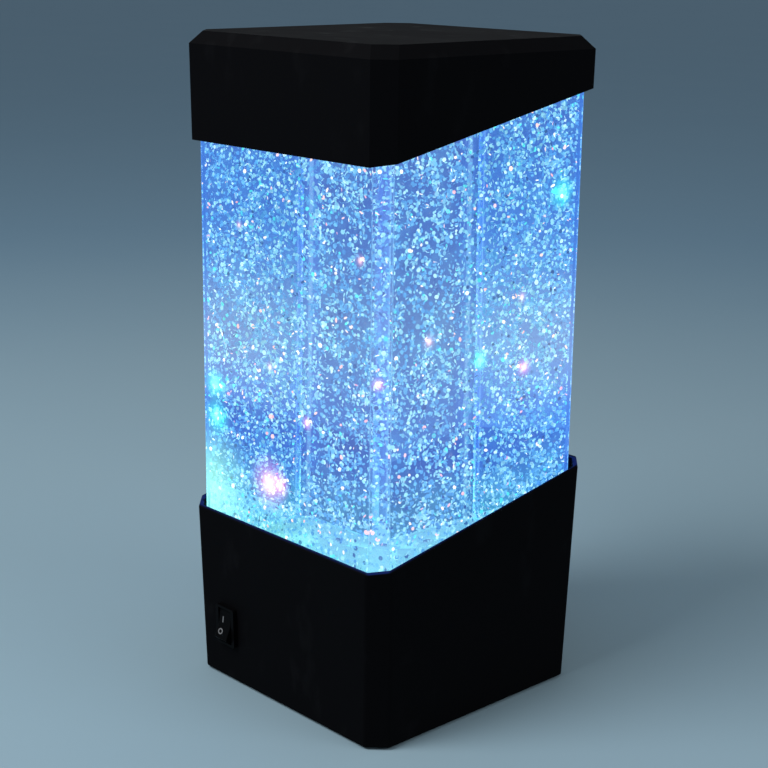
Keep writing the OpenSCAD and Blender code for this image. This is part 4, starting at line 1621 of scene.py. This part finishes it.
@dataclass
class Tank(SubAssembly):
    """Clear tank with its lit floor, lid, plug, gasket and water.

    meniscus_mm pairs a distance in from the wall with how far the water climbs there.
    """

    finishes: ClassVar[Mapping[str, str]] = {
        "tank_floor": "milky_floor",
        "tank_lid": "clear_lid",
        "fill_plug": "feet_rubber",
    }

    half_mm: float = 48.92
    leg_mm: float = 4.84
    wall_mm: float = 2.2
    edge_mm: float = 0.3
    low_mm: float = WATER_LOW_MM
    high_mm: float = 224.8
    slip_mm: float = 0.05
    dip_mm: float = 0.1
    water_top_mm: float = WATER_HIGH_MM
    meniscus_mm: tuple[Span, ...] = ((0.0, 0.9), (0.25, 0.45), (0.7, 0.2), (1.6, 0.05), (3.0, 0.0))
    gasket_edge_mm: float = 0.35
    gasket_fold_deg: float = 60.0

    def make(self) -> None:
        """Make walls and water as smooth skins, and the gasket as squeezed foam."""
        walls = self.keep(self._walls(), "lamp", "clear_tank", "tank_walls")
        self.part(walls, "tank_inside", lambda face: face.normal.xy.dot(face.center.xy) < 0)
        water = self.keep(self._water(), "lamp", "water", "water_fill")
        self.part(water, "water_top", lambda face: face.normal.z > UPWARD)
        gasket = flattened("tank_gasket")
        round_edges(gasket, self.gasket_edge_mm, fold_deg=self.gasket_fold_deg)
        self.pad("tank_gasket", "gasket_foam", "lamp", gasket)

    def _row(self, inset_mm: float, z_mm: float) -> list[Point]:
        """The tank's outline moved in from its outside, at a height."""
        ring = cut_square(self.half_mm - inset_mm, inner_leg(self.leg_mm, inset_mm))
        return level(ring, z_mm)

    def _upright(self, a: Vector, b: Vector) -> bool:
        """Whether an edge between two points runs up the tank."""
        return abs(a.z - b.z) > (self.high_mm - self.low_mm) / 2

    def _polished(
        self, name: str, rows: Sequence[Sequence[Point]], closed: bool = False
    ) -> bpy.types.Object:
        """A skin through rows of points with its upright edges rounded.

        Args:
            name: The piece's name.
            rows: The rows, as loft takes them.
            closed: Whether the last row goes back to the first.

        Returns:
            The new object.
        """
        bm = bmesh.new()
        loft(bm, rows, closed)
        bmesh.ops.recalc_face_normals(bm, faces=bm.faces)
        round_edges(bm, self.edge_mm, self._upright)
        return evened(shown(name, bm))

    def _walls(self) -> bpy.types.Object:
        """A square tube with flats on its corners and polished edges.

        Returns:
            The new object.
        """
        low, high, wall = self.low_mm, self.high_mm, self.wall_mm
        around = ((0.0, low), (0.0, high), (wall, high), (wall, low))
        return self._polished("clear_walls", [self._row(*place) for place in around], closed=True)

    def _water(self) -> bpy.types.Object:
        """Water that fills the tank and climbs its walls a little at the top.

        Returns:
            The new object.
        """
        inset = self.wall_mm + self.slip_mm
        rows = [self._row(inset, self.low_mm - self.dip_mm)]
        for inward, climb in self.meniscus_mm:
            rows.append(self._row(inset + inward, self.water_top_mm + climb))
        return self._polished("lit_water", rows)


FlakeMesh = tuple[list[Vector], list[list[int]]]


@dataclass
class Glitter(SubAssembly):
    """Thousands of hexagonal film flakes adrift in the water.

    shares says how often each kind of glint is drawn.
    """

    shares: ClassVar[Mapping[Glint, float]] = {
        Glint.PALE: 0.42,
        Glint.BLUE: 0.45,
        Glint.GREEN: 0.03,
        Glint.WARM: 0.035,
        Glint.HOT: 0.005,
        Glint.DARK: 0.06,
    }

    seed: int = 4127
    loose: int = 4600
    by_wall: int = 3800
    layer_mm: float = 9.0
    by_floor: int = 900
    floor_layer_mm: float = 12.0
    knots: int = 600
    knot_flakes: int = 8
    knot_mm: float = 1.6
    alike: float = 0.75
    half_mm: float = 45.4
    corner_mm: float = 88.0
    low_mm: float = 49.0
    high_mm: float = 219.5
    small_mm: float = 0.48
    large_mm: float = 0.98
    thick_mm: float = 0.08
    corners: int = 6
    stirrer_mm: Span = (15.5, 59.0)
    settled: int = 150
    settled_mm: Span = (0.0, 0.2)
    settled_tilt: float = 0.05
    speck_mm: float = 0.3
    floor_mm: float = 47.75
    flare_depth_mm: float = 2.4
    flare_gather: float = 5.0
    flare_flake_mm: float = 0.7

    def make(self) -> None:
        """Scatter the flakes and make one piece for each kind of glint."""
        chance = random.Random(self.seed)
        meshes: dict[Glint, FlakeMesh] = {glint: ([], []) for glint in Glint}
        for at, glint in self._places(chance):
            size = chance.uniform(self.small_mm, self.large_mm)
            self._flake(meshes[glint], chance, at, size)
        for flare in FLARES:
            for _ in range(flare.flakes):
                at = self._by_flare(chance, flare)
                self._flake(meshes[flare.glint], chance, at, self.flare_flake_mm)
        for _ in range(self.settled):
            at = Vector((chance.uniform(-1, 1), chance.uniform(-1, 1), 0)) * self.half_mm
            at.z = self.floor_mm + chance.uniform(*self.settled_mm)
            self._flake(meshes[Glint.DARK], chance, at, self.speck_mm, flat=True)
        for glint, (points, faces) in meshes.items():
            mesh = bpy.data.meshes.new(f"glitter_{glint.value}")
            mesh.from_pydata([point * MM for point in points], [], faces)
            piece = placed(mesh.name, mesh)
            self.keep(piece, "lamp", "glitter", "glitter_flakes", finish=mesh.name)

    def _places(self, chance: random.Random) -> list[tuple[Vector, Glint]]:
        """Loose flakes, and knots of flakes that mostly glint alike.

        Args:
            chance: Where the places come from.

        Returns:
            Each flake's place, in millimetres, and its kind of glint.
        """
        kinds, weights = list(self.shares), list(self.shares.values())
        layers = (
            (self._free, self.loose),
            (self._near_wall, self.by_wall),
            (self._near_floor, self.by_floor),
        )
        places = [
            (self._adrift(chance, wanted), chance.choices(kinds, weights)[0])
            for wanted, count in layers
            for _ in range(count)
        ]
        for _ in range(self.knots):
            middle = self._adrift(chance, self._free)
            shared = chance.choice((Glint.PALE, Glint.BLUE))
            for _ in range(self.knot_flakes):
                at = middle + Vector([chance.gauss(0, self.knot_mm) for _ in range(3)])
                own = chance.random() >= self.alike
                glint = chance.choices(kinds, weights)[0] if own else shared
                if self._free(at):
                    places.append((at, glint))
        return places

    def _by_flare(self, chance: random.Random, flare: Flare) -> Vector:
        """A chance place just inside the wall at a flare.

        Args:
            chance: Where the place comes from.
            flare: The flare.

        Returns:
            The place, in millimetres, drawn back inside the walls.
        """
        outward = Vector((*flare.at_mm[:2], 0)).normalized()
        spread = flare.reach_mm / self.flare_gather
        off = Vector([chance.gauss(0, spread) for _ in range(3)])
        at = Vector(flare.at_mm) - self.flare_depth_mm * outward + off
        return Vector((*(max(-self.half_mm, min(self.half_mm, value)) for value in at.xy), at.z))

    def _free(self, at: Vector) -> bool:
        """Whether a place lies in the water, clear of walls and stirrer.

        Args:
            at: The place, in millimetres.

        Returns:
            True where a flake may float.
        """
        reach, top = self.stirrer_mm
        across, along = abs(at.x), abs(at.y)
        inside = max(across, along) < self.half_mm and across + along < self.corner_mm
        return inside and self.low_mm < at.z < self.high_mm and (at.z > top or at.xy.length > reach)

    def _near_wall(self, at: Vector) -> bool:
        """Whether a free place lies in the layer of water along the walls."""
        return self._free(at) and max(abs(at.x), abs(at.y)) > self.half_mm - self.layer_mm

    def _near_floor(self, at: Vector) -> bool:
        """Whether a free place lies in the layer of water over the floor."""
        return self._free(at) and at.z < self.low_mm + self.floor_layer_mm

    def _adrift(self, chance: random.Random, wanted: Callable[[Vector], bool]) -> Vector:
        """A chance place in the water.

        Args:
            chance: Where the place comes from.
            wanted: Says whether a place will do.

        Returns:
            The place, in millimetres.
        """
        while True:
            across = (chance.uniform(-self.half_mm, self.half_mm) for _ in range(2))
            at = Vector((*across, chance.uniform(self.low_mm, self.high_mm)))
            if wanted(at):
                return at

    def _flake(
        self,
        mesh: FlakeMesh,
        chance: random.Random,
        at: Vector,
        size_mm: float,
        flat: bool = False,
    ) -> None:
        """Add one hexagonal flake.

        Args:
            mesh: Points and faces that it joins.
            chance: Where its tilt comes from.
            at: Its middle, in millimetres.
            size_mm: From its middle to a corner.
            flat: Whether it lies level.
        """
        points, faces = mesh
        tilt = Vector([chance.gauss(0, 1) for _ in range(3)])
        if flat:
            tilt = Vector((self.settled_tilt * tilt.x, self.settled_tilt * tilt.y, 1.0))
        turned, start = tilt.to_track_quat("Z", "Y"), len(points)
        turns = [2 * math.pi * k / self.corners for k in range(self.corners)]
        ring = [Vector((math.cos(turn), math.sin(turn), 0)) * size_mm for turn in turns]
        tips = [Vector((0, 0, side * self.thick_mm / 2)) for side in (-1, 1)]
        points += [at + turned @ corner for corner in ring + tips]
        low = start + self.corners
        for k in range(self.corners):
            here, after = start + k, start + (k + 1) % self.corners
            faces += [[after, here, low], [here, after, low + 1]]


@dataclass
class Stirrer(SubAssembly):
    """Bladed disc on its axle, with magnets and clip."""

    finishes: ClassVar[Mapping[str, str]] = {
        "stirrer": "milky_stirrer",
        "stirrer_magnets": "magnet",
        "stirrer_axle": "plated_steel",
        "stirrer_clip": "milky_stirrer",
    }


@dataclass
class Cap(SubAssembly):
    """Black cap with its foam pads."""

    skin: Skin = Skin(half_mm=51.5, at_mm=198.0, lean_deg=0.6, leg_mm=6.1)
    skin_mm: float = 1.95
    shoulder_mm: float = 230.0
    top_reach_mm: float = 5.0
    edge_mm: float = 0.75

    def make(self) -> None:
        """Round the cap's outer edges and shape its pads."""
        self.rounded(
            "cap_shell", "cap_cover", "lamp", "black_shell", self.edge_mm, chosen=self._outer
        )
        FoamPads(self.palette, "cap_pads", "cap_foam", "lamp").build()

    def _outer(self, a: Vector, b: Vector) -> bool:
        """Whether an edge between two points lies in the outer wall or on the top."""
        reach = self.top_reach_mm if min(a.z, b.z) > self.shoulder_mm else self.skin_mm
        return max(map(self.skin.depth, (a, b))) < reach


def main() -> None:
    """Build the studio and the lamp's sub-assemblies in order."""
    logging.basicConfig(level=logging.INFO, format="%(name)s: %(message)s")
    palette = Palette(FINISHES)
    Studio(palette).build()
    kinds = (
        BaseUnit, RockerSwitch, BatteryBay, MotorDrive, LightBoard, Tank, Glitter, Stirrer, Cap
    )
    for kind in kinds:
        LOG.info("sub-assembly %s", kind.__name__)
        kind(palette).build()


if __name__ == "__main__":
    main()
